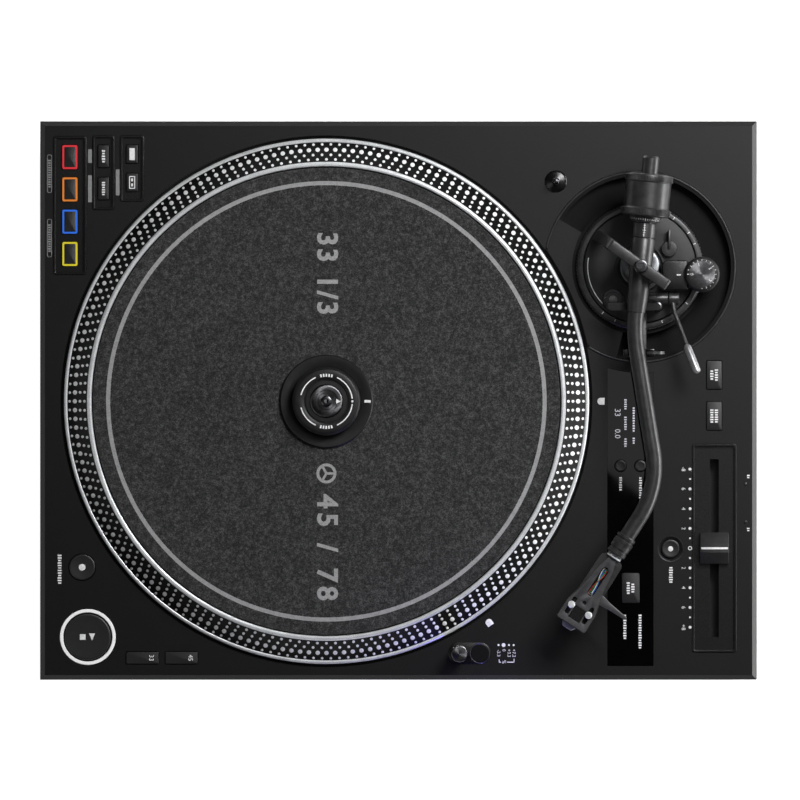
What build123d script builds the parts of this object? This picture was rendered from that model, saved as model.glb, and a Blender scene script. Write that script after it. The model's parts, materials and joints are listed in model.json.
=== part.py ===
"""A direct-drive record player for DJ use, as an assembly of separate pieces.

Frame: origin on the table under the middle of the cabinet, +X to the player's right,
+Y to the back, +Z up. All lengths are in millimetres and all angles in degrees.
"""

from build123d import *
import os
from math import atan2, cos, degrees, radians, sin

os.makedirs("parts", exist_ok=True)

# ---------------------------------------------------------------- driving dimensions
# Cabinet, from the table up
WIDTH, DEPTH = 453.0, 353.0
COVER_Z = 28.0          # underside of the steel bottom cover
TRAY_Z = 30.0           # underside of the resin base
CHASSIS_Z = 60.0        # underside of the metal chassis
DECK_Z = 100.0          # top face of the deck
WALL = 5.0              # chassis wall and deck thickness
BEVEL = 3.0             # bevel round the deck's top edge
TRAY_INSET = 2.0        # the base stands this far inside the chassis
BACK_Y = DEPTH / 2

# Platter and what turns with it
SPINDLE_X, SPINDLE_Y = -45.5, -0.5
PLATTER_R = 166.0
WELL_R, WELL_FLOOR = 168.0, 92.0
WELL_WALL_R = WELL_R + 3.5
WELL_FLOOR_T = 4.0
MOTOR_HOLE_R = 59.0
PLATTER_TOP = 115.2     # seat of the slipmat
MAT_R, MAT_Z, MAT_TOP = 147.4, 115.3, 116.5
SHAFT_R = 5.0           # motor shaft
PIN_R, PIN_TOP = 3.58, 134.0    # centre pin that a record's hole fits
RUNNING = 0.05          # radial clearance of a running fit
CLAMP_BASE_R, CLAMP_KNOB_R, CLAMP_CAP_R = 29.4, 21.5, 10.3

# Tonearm
ARM_X, ARM_Y = 152.5, 84.4
ARM_Z = 140.0           # height of the tube's axis
ARM_HEADING = -95.5     # the arm's own axis, from the pivot to the front
REAR_HEADING = ARM_HEADING + 180.0
HEAD_HEADING = -122.8   # the headshell and the tube's front end
GIMBAL_HEADING = -36.0  # axis of the arm's up-and-down pivots
TUBE_R = 5.1
ARM_BASE_R, ARM_BASE_TOP = 35.4, 104.5
ARM_STEM_R = 20.0       # guide under the arm base
RING_IN, RING_OUT, RING_TOP = 35.8, 40.1, 105.2
SURROUND_R, SURROUND_TOP = 60.6, 100.4
ARM_FLOOR_Z = 89.2      # floor of the arm's well
PIVOT_PIN_R = 1.5

# Buttons and clearances
GAP = 0.4               # round a button or an insert
PROUD = 1.0             # a button stands this far above its panel
BUTTON_Z = 92.5         # underside of every button
FLANGE, FLANGE_T = 1.2, 1.2
BOARD_Z, BOARD_T = 84.0, 1.6
SWITCH_TOP = 91.0

# Places on the deck
START_X, START_Y, START_R = -196.3, -149.4, 14.5
LIGHT_IN, LIGHT_OUT = 15.3, 17.7
MOTOR_OFF_X, MOTOR_OFF_Y, MOTOR_OFF_R = -199.9, -105.4, 8.3
SPEED_Y, SPEED_33_X, SPEED_45_X = -162.6, -161.8, -137.1
SPEED_W, SPEED_D = 20.4, 7.6
PAD_X, PAD_Y, PAD_PITCH, PAD_W, PAD_D = -207.6, 153.8, 20.4, 9.5, 15.1
MODE_X, MODE_Y, MODE_PITCH, MODE_W, MODE_D = -186.4, 154.3, 20.4, 6.9, 14.2
TRACK_X, TRACK_Y, TRACK_PITCH, TRACK_W, TRACK_D = -168.3, 155.7, 17.9, 7.4, 11.6
FADER_X, FADER_Y = 199.6, -93.3
SLOT_W, SLOT_D = 5.6, 112.5
NEEDLE_X, NEEDLE_Y, NEEDLE_W, NEEDLE_D = 146.6, -118.5, 11.2, 19.0
DISPLAY_Y, DISPLAY_LEFT_X, DISPLAY_RIGHT_X, DISPLAY_R = -41.3, 140.3, 152.8, 3.6
RESET_X, RESET_Y, RESET_R, RESET_CUP_R = 171.9, -93.7, 5.8, 7.8
SIDE_X, STEP_Y, TEMPO_Y, SIDE_W, SIDE_D = 199.4, 16.1, -9.8, 9.6, 18.0
WINDOW_LEFT, WINDOW_RIGHT, WINDOW_FRONT, WINDOW_ARC_R = 132.0, 161.1, -167.7, 67.0
WINDOW_T = 1.6
LAMP_X, LAMP_BUTTON_X, LAMP_Y = 38.4, 51.4, -159.7
LAMP_R, LAMP_BUTTON_R, LAMP_TOP = 5.3, 4.8, 122.0
LAMP_PLATE_W, LAMP_PLATE_D, LAMP_PLATE_T = 26.7, 13.7, 1.2
STAND_X, STAND_Y = 99.4, 138.4
MARKER_R, MARKER_ANGLES = 173.4, (0.0, -53.7)
LED_X, LED_YS, LED_R = 219.3, (-52.9, -76.8), 1.1
FOOT_X, FOOT_Y, FOOT_R = 178.0, 128.0, 30.0
REAR_X, REAR_Z, REAR_W, REAR_H, REAR_DEPTH, REAR_T = 40.0, 76.0, 190.0, 24.0, 16.0, 1.5
INLET_X, ROCKER_X, DATA_X, EARTH_X = REAR_X - 46, REAR_X - 78, REAR_X + 2, REAR_X + 78
PHONO_XS = (REAR_X + 34, REAR_X + 52)
ROCKER_PIN_R = 1.2

# Fittings on the tonearm's base
BOSS_X, BOSS_Y = 135.5, 63.5
SKATE_X, SKATE_Y, SKATE_R = 191.4, 79.6, 11.0
HOUSING_X, HOUSING_Y, HOUSING_TOP = 175.0, 79.0, 118.0
CUE_Y, CUE_Z = 64.4, 112.0
PLUNGER_X, PLUNGER_Y, LIFT_TOP = 163.0, 59.1, 133.4
LOCK_X, LOCK_Y = 170.9, 95.7
REST_X, REST_Y = 150.4, 30.0
HINGE_X, HINGE_Z = REST_X + 8.6, 136.4
HOOK_OPEN = 75.0        # the hook is drawn open by this angle

# Tonearm: corners of the S-shaped tube from the pivot, and the headshell
BEND_A, BEND_B = (-4.09, -42.45), (11.4, -139.1)
BEND_RADII = (90, 60)
NUT_AT, NUT_LENGTH = 36.7, 13.6     # back of the lock nut beyond the second corner
SHELL_AT = 16.0                     # back of the headshell beyond the back of the nut
SHELL_TOP, SHELL_BOTTOM = 142.6, 138.4
SCREW_U, SCREW_SIDE = 39.0, 6.35    # cartridge screws
STYLUS_U, STYLUS_SIDE, STYLUS_TIP = 47.0, -0.6, 118.3

# Recessed trays let into the deck: middle, width, depth and floor height
TRAY_RIM, TRAY_TOP, TRAY_FLOOR_T = 1.6, 100.3, 1.8
PAD_TRAY = (PAD_X, PAD_Y - 1.5 * PAD_PITCH, 17.8, 84.4, 98.4)
MODE_TRAY = (MODE_X, 144.0, 10.7, 44.0, 98.4)
TRACK_TRAY = (TRACK_X, 146.6, 12.0, 38.8, 98.4)
FADER_TRAY = (FADER_X, FADER_Y, 25.0, 128.6, 97.6)

# Round buttons: name, x, y, radius, top
ROUND_BUTTONS = (
    ("start_button", START_X, START_Y, START_R, DECK_Z + 1.6),
    ("motor_off_button", MOTOR_OFF_X, MOTOR_OFF_Y, MOTOR_OFF_R, DECK_Z + PROUD),
    ("display_button_left", DISPLAY_LEFT_X, DISPLAY_Y, DISPLAY_R, DECK_Z + 0.6),
    ("display_button_right", DISPLAY_RIGHT_X, DISPLAY_Y, DISPLAY_R, DECK_Z + 0.6),
    ("reset_button", RESET_X, RESET_Y, RESET_R, DECK_Z + 0.6),
)

# Oblong buttons: name, x, y, width, depth, top
OBLONG_BUTTONS = (
    ("speed_33_button", SPEED_33_X, SPEED_Y, SPEED_W, SPEED_D, DECK_Z + PROUD),
    ("speed_45_button", SPEED_45_X, SPEED_Y, SPEED_W, SPEED_D, DECK_Z + PROUD),
    ("mode_button_1", MODE_X, MODE_Y, MODE_W, MODE_D, DECK_Z),
    ("mode_button_2", MODE_X, MODE_Y - MODE_PITCH, MODE_W, MODE_D, DECK_Z),
    ("track_button_1", TRACK_X, TRACK_Y, TRACK_W, TRACK_D, DECK_Z),
    ("track_button_2", TRACK_X, TRACK_Y - TRACK_PITCH, TRACK_W, TRACK_D, DECK_Z),
    ("pad_button_1", PAD_X, PAD_Y, PAD_W, PAD_D, DECK_Z + 0.2),
    ("pad_button_2", PAD_X, PAD_Y - PAD_PITCH, PAD_W, PAD_D, DECK_Z + 0.2),
    ("pad_button_3", PAD_X, PAD_Y - 2 * PAD_PITCH, PAD_W, PAD_D, DECK_Z + 0.2),
    ("pad_button_4", PAD_X, PAD_Y - 3 * PAD_PITCH, PAD_W, PAD_D, DECK_Z + 0.2),
    ("needle_button", NEEDLE_X, NEEDLE_Y, NEEDLE_W, NEEDLE_D, DECK_Z + 0.8),
    ("step_pitch_button", SIDE_X, STEP_Y, SIDE_W, SIDE_D, DECK_Z + PROUD),
    ("tempo_range_button", SIDE_X, TEMPO_Y, SIDE_W, SIDE_D, DECK_Z + PROUD),
)
CORNER = 0.8            # corner radius of an oblong button
TRAY_BUTTONS = ("pad", "mode", "track")


# ---------------------------------------------------------------- shared helpers
def level(x, y, z, turn=0.0):
    """A level plane at a point, turned about the vertical."""
    x_dir = (cos(radians(turn)), sin(radians(turn)), 0)
    return Plane(origin=(x, y, z), x_dir=x_dir, z_dir=(0, 0, 1))


def upright(x, y, z=0.0, heading=0.0):
    """A vertical plane through a point: local X runs along the heading, local Y is up."""
    x_dir = (cos(radians(heading)), sin(radians(heading)), 0)
    z_dir = (sin(radians(heading)), -cos(radians(heading)), 0)
    return Plane(origin=(x, y, z), x_dir=x_dir, z_dir=z_dir)


def along(x, y, heading, forward, sideways=0.0):
    """The point a distance forward of (x, y) on a heading, and sideways to its left."""
    c, s = cos(radians(heading)), sin(radians(heading))
    return x + forward * c - sideways * s, y + forward * s + sideways * c


def turned(x, y, outline, mode=Mode.ADD):
    """A turned shape on a vertical axis, from (radius, height) corners."""
    with BuildSketch(upright(x, y), mode=Mode.PRIVATE) as section:
        with BuildLine():
            Polyline(*outline, close=True)
        make_face()
    revolve(section.sketch, axis=Axis((x, y, 0), (0, 0, 1)), mode=mode)


def shaft(x, y, z, heading, outline, mode=Mode.ADD):
    """A turned shape on a level axis, from (distance along it, radius) corners."""
    plane = upright(x, y, z, heading)
    with BuildSketch(plane, mode=Mode.PRIVATE) as section:
        with BuildLine():
            Polyline(*outline, close=True)
        make_face()
    revolve(section.sketch, axis=Axis(plane.origin, plane.x_dir), mode=mode)


def disc(x, y, low, high, radius, mode=Mode.ADD):
    """A plain upright cylinder between two heights."""
    with BuildSketch(level(x, y, low), mode=Mode.PRIVATE) as outline:
        Circle(radius)
    extrude(outline.sketch, amount=high - low, mode=mode)


def ring(x, y, low, high, inner, outer):
    """A washer or tube on a vertical axis between two heights."""
    with BuildSketch(level(x, y, low), mode=Mode.PRIVATE) as outline:
        Circle(outer)
        Circle(inner, mode=Mode.SUBTRACT)
    extrude(outline.sketch, amount=high - low)


def block(x, y, low, high, width, depth, corner=0.0, turn=0.0, mode=Mode.ADD):
    """An upright block, with rounded corners or square ones, between two heights."""
    with BuildSketch(level(x, y, low, turn), mode=Mode.PRIVATE) as outline:
        if corner:
            RectangleRounded(width, depth, corner)
        else:
            Rectangle(width, depth)
    extrude(outline.sketch, amount=high - low, mode=mode)


def rod(start, end, radius, mode=Mode.ADD):
    """A round rod from one point to another."""
    run = Vector(*end) - Vector(*start)
    with BuildSketch(Plane(origin=start, z_dir=run), mode=Mode.PRIVATE) as outline:
        Circle(radius)
    extrude(outline.sketch, amount=run.length, mode=mode)


def save(builder, name):
    """Labels a finished sub-part and writes it."""
    builder.part.label = name
    export_step(builder.part, f"parts/{name}.step")


def tray_opening(tray, mode=Mode.SUBTRACT):
    """The opening in the deck that a recessed tray drops into."""
    x, y, width, depth, floor = tray
    rim = 2 * (TRAY_RIM + 0.1)
    block(x, y, CHASSIS_Z, DECK_Z + 1, width + rim, depth + rim, 2.0, mode=mode)


# ---------------------------------------------------------------- cabinet
with BuildPart() as top_chassis:
    # Cast shell with bevelled top edges, open underneath.
    block(0, 0, CHASSIS_Z, DECK_Z, WIDTH, DEPTH)
    chamfer(top_chassis.faces().sort_by(Axis.Z)[-1].edges(), BEVEL)
    block(0, 0, CHASSIS_Z, DECK_Z - WALL, WIDTH - 2 * WALL, DEPTH - 2 * WALL, mode=Mode.SUBTRACT)
    # Round wall and floor of the platter's well.
    disc(SPINDLE_X, SPINDLE_Y, WELL_FLOOR - WELL_FLOOR_T, DECK_Z - WALL, WELL_WALL_R)
    disc(SPINDLE_X, SPINDLE_Y, WELL_FLOOR, DECK_Z + 1, WELL_R, mode=Mode.SUBTRACT)
    disc(SPINDLE_X, SPINDLE_Y, WELL_FLOOR - WELL_FLOOR_T, WELL_FLOOR, MOTOR_HOLE_R, mode=Mode.SUBTRACT)
    # Round pot for the tonearm, open to the platter's well where they meet.
    with BuildSketch(level(ARM_X, ARM_Y, ARM_FLOOR_Z - 3.2), mode=Mode.PRIVATE) as pot:
        Circle(SURROUND_R + 4)
    extrude(pot.sketch, amount=DECK_Z - WALL - ARM_FLOOR_Z + 3.2)
    disc(ARM_X, ARM_Y, ARM_FLOOR_Z, DECK_Z + 1, SURROUND_R + 0.3, mode=Mode.SUBTRACT)
    disc(ARM_X, ARM_Y, CHASSIS_Z, DECK_Z, ARM_STEM_R + RUNNING, mode=Mode.SUBTRACT)
    disc(SPINDLE_X, SPINDLE_Y, WELL_FLOOR, DECK_Z + 1, WELL_R, mode=Mode.SUBTRACT)
    # Openings for the trays, the buttons and the display's glass.
    for tray in (PAD_TRAY, MODE_TRAY, TRACK_TRAY, FADER_TRAY):
        tray_opening(tray)
    for name, x, y, radius, top in ROUND_BUTTONS:
        disc(x, y, DECK_Z - WALL, DECK_Z + 1, radius + GAP, mode=Mode.SUBTRACT)
    for name, x, y, width, depth, top in OBLONG_BUTTONS:
        if not name.startswith(TRAY_BUTTONS):
            opening = (width + 2 * GAP, depth + 2 * GAP, CORNER + GAP)
            block(x, y, DECK_Z - WALL, DECK_Z + 1, *opening, mode=Mode.SUBTRACT)
    disc(START_X, START_Y, DECK_Z - WALL, DECK_Z + 1, LIGHT_OUT + 0.1, mode=Mode.SUBTRACT)
    disc(RESET_X, RESET_Y, DECK_Z - WALL, DECK_Z + 1, RESET_CUP_R + 0.1, mode=Mode.SUBTRACT)
    with BuildSketch(level(0, 0, DECK_Z - WINDOW_T - 0.1), mode=Mode.PRIVATE) as pocket:
        with Locations(((WINDOW_LEFT + WINDOW_RIGHT) / 2, WINDOW_FRONT / 2 + 20)):
            Rectangle(WINDOW_RIGHT - WINDOW_LEFT + 0.2, 40 - WINDOW_FRONT + 0.2)
        with Locations((ARM_X, ARM_Y)):
            Circle(WINDOW_ARC_R - 0.1, mode=Mode.SUBTRACT)
    extrude(pocket.sketch, amount=WINDOW_T + 1, mode=Mode.SUBTRACT)
    # Lamp socket, marker pockets and lamp holes.
    lamp_middle = (LAMP_X + LAMP_BUTTON_X) / 2
    with BuildSketch(level(lamp_middle, LAMP_Y, DECK_Z - WALL), mode=Mode.PRIVATE) as socket:
        SlotOverall(LAMP_PLATE_W - 0.4, LAMP_PLATE_D - 0.4)
    extrude(socket.sketch, amount=WALL + 1, mode=Mode.SUBTRACT)
    with BuildSketch(level(lamp_middle, LAMP_Y, DECK_Z - LAMP_PLATE_T), mode=Mode.PRIVATE) as seat:
        SlotOverall(LAMP_PLATE_W + 0.2, LAMP_PLATE_D + 0.2)
    extrude(seat.sketch, amount=LAMP_PLATE_T + 1, mode=Mode.SUBTRACT)
    for angle in MARKER_ANGLES:
        x, y = along(SPINDLE_X, SPINDLE_Y, angle, MARKER_R)
        block(x, y, DECK_Z - 1.0, DECK_Z + 1, 4.8, 4.6, turn=angle, mode=Mode.SUBTRACT)
    for y in LED_YS:
        disc(LED_X, y, DECK_Z - WALL, DECK_Z + 1, LED_R + 0.1, mode=Mode.SUBTRACT)
    # Opening in the back wall for the socket panel.
    low, high = REAR_Z - REAR_H / 2, REAR_Z + REAR_H / 2
    block(REAR_X, BACK_Y, low, high, REAR_W, 2 * WALL + 2, mode=Mode.SUBTRACT)
save(top_chassis, "top_chassis")

with BuildPart() as base_tray:
    # Resin tub that carries the motor side loads, with a thick wall and board posts.
    tray_w, tray_d = WIDTH - 2 * TRAY_INSET, DEPTH - 2 * TRAY_INSET
    block(0, 0, TRAY_Z, CHASSIS_Z, tray_w, tray_d, 4.0)
    block(0, 0, TRAY_Z + 4, CHASSIS_Z, tray_w - 14, tray_d - 14, 3.0, mode=Mode.SUBTRACT)
    for x, y in ((70, -150), (200, -150), (70, -70), (200, -70)):
        disc(x, y, TRAY_Z + 4, 50, 3.5)
    for x, y in ((-195, 70), (-105, 70), (-195, 150), (-105, 150)):
        disc(x, y, TRAY_Z + 4, 42, 3.5)
save(base_tray, "base_tray")

with BuildPart() as bottom_cover:
    block(0, 0, COVER_Z, TRAY_Z, 425, 325, 6.0)
    with Locations(Plane.XY.offset(COVER_Z)):
        with GridLocations(2 * FOOT_X, 2 * FOOT_Y, 2, 2):
            Cylinder(FOOT_R + 1.5, 10, mode=Mode.SUBTRACT)
save(bottom_cover, "bottom_cover")

with BuildPart() as feet:
    # Rubber pad, skirt and threaded neck of each foot.
    for side in (-1, 1):
        for end in (-1, 1):
            turned(side * FOOT_X, end * FOOT_Y, [
                (0, 0), (23, 0), (25, 1.5), (25, 5), (28.5, 5), (FOOT_R, 7), (FOOT_R, 19),
                (28.5, 21), (20, 21), (20, TRAY_Z), (0, TRAY_Z),
            ])
save(feet, "feet")

with BuildPart() as case_screws:
    # Pan-head screws that hold the bottom cover.
    for x in (-190, -95, 0, 95, 190):
        for y in (-75, 75):
            disc(x, y, COVER_Z - 1.6, COVER_Z, 3.2)
    for x in (-95, 0, 95):
        for y in (-148, 148):
            disc(x, y, COVER_Z - 1.6, COVER_Z, 3.2)
save(case_screws, "case_screws")

# ---------------------------------------------------------------- motor and platter
with BuildPart() as motor:
    # Steel motor plate with the bearing tube, and the ring of drive coils on it.
    disc(SPINDLE_X, SPINDLE_Y, 84.5, WELL_FLOOR - WELL_FLOOR_T, 74)
    disc(SPINDLE_X, SPINDLE_Y, 62, 98, 11)
    disc(SPINDLE_X, SPINDLE_Y, 64, 98, SHAFT_R + RUNNING, mode=Mode.SUBTRACT)
    with Locations(level(SPINDLE_X, SPINDLE_Y, 93)):
        with PolarLocations(43, 12):
            Cylinder(9.5, 10)
save(motor, "motor")

with BuildPart() as rotor:
    # Motor shaft with the centre pin, and the ring magnet under the platter.
    turned(SPINDLE_X, SPINDLE_Y, [
        (0, 64.6), (SHAFT_R, 64.6), (SHAFT_R, PLATTER_TOP), (PIN_R, PLATTER_TOP),
        (PIN_R, PIN_TOP - 3), (2.4, PIN_TOP - 0.8), (1.2, PIN_TOP), (0, PIN_TOP),
    ])
    ring(SPINDLE_X, SPINDLE_Y, 95, 106, 62, 72)
save(rotor, "rotor")

with BuildPart() as platter:
    # Die-cast platter: polished outer bead, sloping strobe rim and polished inner lip.
    turned(SPINDLE_X, SPINDLE_Y, [
        (SHAFT_R, 99), (20, 99), (20, 106), (154, 106), (157, 94.5), (165, 94.5),
        (PLATTER_R, 95.5), (PLATTER_R, 101.4), (165.5, 102.3), (164.3, 102.3), (163.4, 101.8),
        (163.0, 102.6), (151.0, 115.4), (150.6, 116.8), (150.2, 117.0), (148.8, 117.0),
        (148.3, 116.6), (148.0, PLATTER_TOP), (SHAFT_R, PLATTER_TOP),
    ])
save(platter, "platter")

with BuildPart() as slipmat:
    ring(SPINDLE_X, SPINDLE_Y, MAT_Z, MAT_TOP, PIN_R + 0.3, MAT_R)
save(slipmat, "slipmat")

with BuildPart() as clamp_base:
    # Foot and middle post of the record clamp, gripping the centre pin.
    turned(SPINDLE_X, SPINDLE_Y, [
        (PIN_R + RUNNING, MAT_TOP + 0.1), (28.6, MAT_TOP + 0.1), (CLAMP_BASE_R, 117.2),
        (CLAMP_BASE_R, 118.4), (28.6, 119.0), (CLAMP_CAP_R, 119.0), (CLAMP_CAP_R, 130.6),
        (9.6, 131.2), (PIN_R + RUNNING, 131.6),
    ])
save(clamp_base, "clamp_base")

with BuildPart() as clamp_knob:
    turned(SPINDLE_X, SPINDLE_Y, [
        (CLAMP_CAP_R + 0.3, 119.3), (20.6, 119.3), (CLAMP_KNOB_R, 120.2), (CLAMP_KNOB_R, 128.4),
        (19.8, 130.6), (14.4, 130.6), (13.6, 129.8), (12.8, 130.4), (CLAMP_CAP_R + 0.3, 130.4),
    ])
save(clamp_knob, "clamp_knob")

# ---------------------------------------------------------------- deck fittings
with BuildPart() as deck_trays:
    # Recessed resin trays for the pads, the mode keys, the track keys and the fader.
    for x, y, width, depth, floor in (PAD_TRAY, MODE_TRAY, TRACK_TRAY, FADER_TRAY):
        rim = 2 * TRAY_RIM
        block(x, y, floor - TRAY_FLOOR_T, TRAY_TOP, width + rim, depth + rim, 1.9)
        block(x, y, floor, TRAY_TOP, width, depth, 1.2, mode=Mode.SUBTRACT)
    for name, x, y, width, depth, top in OBLONG_BUTTONS:
        if name.startswith(TRAY_BUTTONS):
            opening = (width + 2 * GAP, depth + 2 * GAP, CORNER + GAP)
            block(x, y, DECK_Z - WALL, DECK_Z, *opening, mode=Mode.SUBTRACT)
    block(FADER_X, FADER_Y, DECK_Z - WALL, DECK_Z, SLOT_W, SLOT_D, mode=Mode.SUBTRACT)
save(deck_trays, "deck_trays")

with BuildPart() as display_window:
    # Glossy panel over the display, with a curved back edge beside the tonearm.
    with BuildSketch(level(0, 0, DECK_Z - WINDOW_T), mode=Mode.PRIVATE) as pane:
        with Locations(((WINDOW_LEFT + WINDOW_RIGHT) / 2, WINDOW_FRONT / 2 + 20)):
            Rectangle(WINDOW_RIGHT - WINDOW_LEFT, 40 - WINDOW_FRONT)
        with Locations((ARM_X, ARM_Y)):
            Circle(WINDOW_ARC_R, mode=Mode.SUBTRACT)
        with Locations((DISPLAY_LEFT_X, DISPLAY_Y), (DISPLAY_RIGHT_X, DISPLAY_Y)):
            Circle(DISPLAY_R + GAP, mode=Mode.SUBTRACT)
        with Locations((NEEDLE_X, NEEDLE_Y)):
            opening = (NEEDLE_W + 2 * GAP, NEEDLE_D + 2 * GAP)
            RectangleRounded(*opening, CORNER + GAP, mode=Mode.SUBTRACT)
    extrude(pane.sketch, amount=WINDOW_T + 0.1)
save(display_window, "display_window")

with BuildPart() as light_ring:
    ring(START_X, START_Y, DECK_Z - WALL, DECK_Z + 0.8, LIGHT_IN, LIGHT_OUT)
save(light_ring, "light_ring")

with BuildPart() as deck_fittings:
    # Lamp plate with its two guide tubes.
    with BuildSketch(level(lamp_middle, LAMP_Y, DECK_Z - LAMP_PLATE_T), mode=Mode.PRIVATE) as plate:
        SlotOverall(LAMP_PLATE_W, LAMP_PLATE_D)
    extrude(plate.sketch, amount=LAMP_PLATE_T + 0.5)
    disc(LAMP_X, LAMP_Y, 72, DECK_Z - LAMP_PLATE_T, LAMP_R + 1.2)
    disc(LAMP_X, LAMP_Y, 72, DECK_Z + 1, LAMP_R + 0.3, mode=Mode.SUBTRACT)
    disc(LAMP_BUTTON_X, LAMP_Y, DECK_Z - WALL, DECK_Z + 1, LAMP_BUTTON_R + 0.3, mode=Mode.SUBTRACT)
    # Cup round the reset button.
    turned(RESET_X, RESET_Y, [
        (RESET_R + GAP, DECK_Z - WALL), (RESET_CUP_R, DECK_Z - WALL), (RESET_CUP_R, DECK_Z + 0.2),
        (RESET_CUP_R - 0.5, DECK_Z + 0.2), (RESET_R + GAP, DECK_Z - 0.8),
    ])
    # Pin that holds a spare headshell.
    turned(STAND_X, STAND_Y, [
        (0, DECK_Z), (7, DECK_Z), (7, DECK_Z + 0.6), (6, DECK_Z + 1.4), (2.2, DECK_Z + 2.2),
        (2.0, DECK_Z + 10), (2.4, DECK_Z + 11), (1.4, DECK_Z + 12.4), (0, DECK_Z + 12.8),
    ])
    # White markers beside the platter and the two small lamps at the fader.
    for angle in MARKER_ANGLES:
        x, y = along(SPINDLE_X, SPINDLE_Y, angle, MARKER_R)
        block(x, y, DECK_Z - 1.0, DECK_Z + 0.2, 4.6, 4.4, turn=angle)
    for y in LED_YS:
        disc(LED_X, y, DECK_Z - WALL, DECK_Z + 0.2, LED_R)
save(deck_fittings, "deck_fittings")

with BuildPart() as fader_cap:
    # Stem and cap: a raised flat across the middle, and both ends sloping down from it.
    block(FADER_X, FADER_Y, 84, 99.5, 4, 10)
    profile = [
        (-10, 98.8), (10, 98.8), (10, 102.6), (9.4, 103.2), (3.4, 106.4),
        (2.6, 107.0), (-2.6, 107.0), (-3.4, 106.4), (-9.4, 103.2), (-10, 102.6),
    ]
    with BuildSketch(upright(FADER_X + 9, FADER_Y, heading=90), mode=Mode.PRIVATE) as side:
        with BuildLine():
            Polyline(*profile, close=True)
        make_face()
    extrude(side.sketch, amount=-18)
save(fader_cap, "fader_cap")

# ---------------------------------------------------------------- buttons
for name, x, y, radius, top in ROUND_BUTTONS:
    with BuildPart() as round_button:
        turned(x, y, [
            (0, BUTTON_Z), (radius + FLANGE, BUTTON_Z), (radius + FLANGE, BUTTON_Z + FLANGE_T),
            (radius, BUTTON_Z + FLANGE_T), (radius, top - 0.5), (radius - 0.5, top), (0, top),
        ])
    save(round_button, name)

for name, x, y, width, depth, top in OBLONG_BUTTONS:
    with BuildPart() as oblong_button:
        block(x, y, BUTTON_Z, top, width, depth, CORNER)
        chamfer(oblong_button.faces().sort_by(Axis.Z)[-1].edges(), 0.3)
        flange = (width + 2 * FLANGE, depth + 2 * FLANGE, CORNER)
        block(x, y, BUTTON_Z, BUTTON_Z + FLANGE_T, *flange)
    save(oblong_button, name)

with BuildPart() as lamp_button:
    turned(LAMP_BUTTON_X, LAMP_Y, [
        (0, BUTTON_Z), (LAMP_BUTTON_R + 0.9, BUTTON_Z), (LAMP_BUTTON_R + 0.9, BUTTON_Z + FLANGE_T),
        (LAMP_BUTTON_R, BUTTON_Z + FLANGE_T), (LAMP_BUTTON_R, 98.9), (2.0, 99.3), (1.5, 100.1),
        (0, 100.4),
    ])
save(lamp_button, "lamp_button")

with BuildPart() as lamp:
    # Pop-up needle lamp with a spun cap and a light window on the platter's side.
    turned(LAMP_X, LAMP_Y, [
        (0, 76), (LAMP_R, 76), (LAMP_R, LAMP_TOP - 0.8), (LAMP_R - 0.8, LAMP_TOP), (0, LAMP_TOP),
    ])
    facing = degrees(atan2(SPINDLE_Y - LAMP_Y, SPINDLE_X - LAMP_X))
    x, y = along(LAMP_X, LAMP_Y, facing, LAMP_R)
    block(x, y, LAMP_TOP - 9, LAMP_TOP - 3, 2.4, 5, turn=facing, mode=Mode.SUBTRACT)
save(lamp, "lamp")

# ---------------------------------------------------------------- electronics and back
with BuildPart() as circuit_boards:
    # Main board on its posts, and the switch boards under the two sides of the deck.
    block(135, -110, 50, 50 + BOARD_T, 140, 92)
    for x, y in ((95, -130), (120, -90), (160, -125), (180, -85)):
        block(x, y, 50 + BOARD_T, 54, 18, 18)
    board_top = BOARD_Z + BOARD_T
    block(-186, 124, BOARD_Z, board_top, 56, 88)
    block(-168, -132, BOARD_Z, board_top, 88, 76)
    block(146, -80, BOARD_Z, board_top, 26, 110)
    block(172, RESET_Y, BOARD_Z, board_top, 20, 20)
    block(SIDE_X, 3, BOARD_Z, board_top, 20, 50)
    block(LAMP_BUTTON_X + 3, LAMP_Y, BOARD_Z, board_top, 15, 12)
    for name, x, y, radius, top in ROUND_BUTTONS:
        block(x, y, board_top, SWITCH_TOP, 5, 5)
    for name, x, y, width, depth, top in OBLONG_BUTTONS:
        block(x, y, board_top, SWITCH_TOP, 5, 5)
    block(LAMP_BUTTON_X, LAMP_Y, board_top, SWITCH_TOP, 5, 5)
    # Slide sensor of the fader, with the guide channel of its stem.
    block(FADER_X, FADER_Y, 80, 92, 14, 124)
    block(FADER_X, FADER_Y, 83, 92, 6, 116, mode=Mode.SUBTRACT)
save(circuit_boards, "circuit_boards")

with BuildPart() as power_supply:
    # Supply board with its transformer, two capacitors and a heat sink.
    block(-150, 110, 42, 42 + BOARD_T, 104, 94)
    block(-176, 130, 42 + BOARD_T, 72, 36, 36, 3)
    for x in (-135, -118):
        disc(x, 134, 42 + BOARD_T, 66, 7)
    block(-140, 90, 42 + BOARD_T, 64, 60, 4)
save(power_supply, "power_supply")

with BuildPart() as rear_panel:
    # Sheet-metal niche in the back wall that the sockets sit in.
    niche_y = BACK_Y - REAR_DEPTH / 2
    low, high = REAR_Z - REAR_H / 2 + 0.2, REAR_Z + REAR_H / 2 - 0.2
    block(REAR_X, niche_y, low, high, REAR_W - 0.4, REAR_DEPTH)
    inner = (REAR_W - 0.4 - 2 * REAR_T, REAR_DEPTH)
    block(REAR_X, niche_y + REAR_T, low + REAR_T, high - REAR_T, *inner, mode=Mode.SUBTRACT)
    floor_y = BACK_Y - REAR_DEPTH + REAR_T
    block(ROCKER_X, floor_y, REAR_Z - 6.6, REAR_Z + 6.6, 20.4, 8, mode=Mode.SUBTRACT)
save(rear_panel, "rear_panel")

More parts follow.
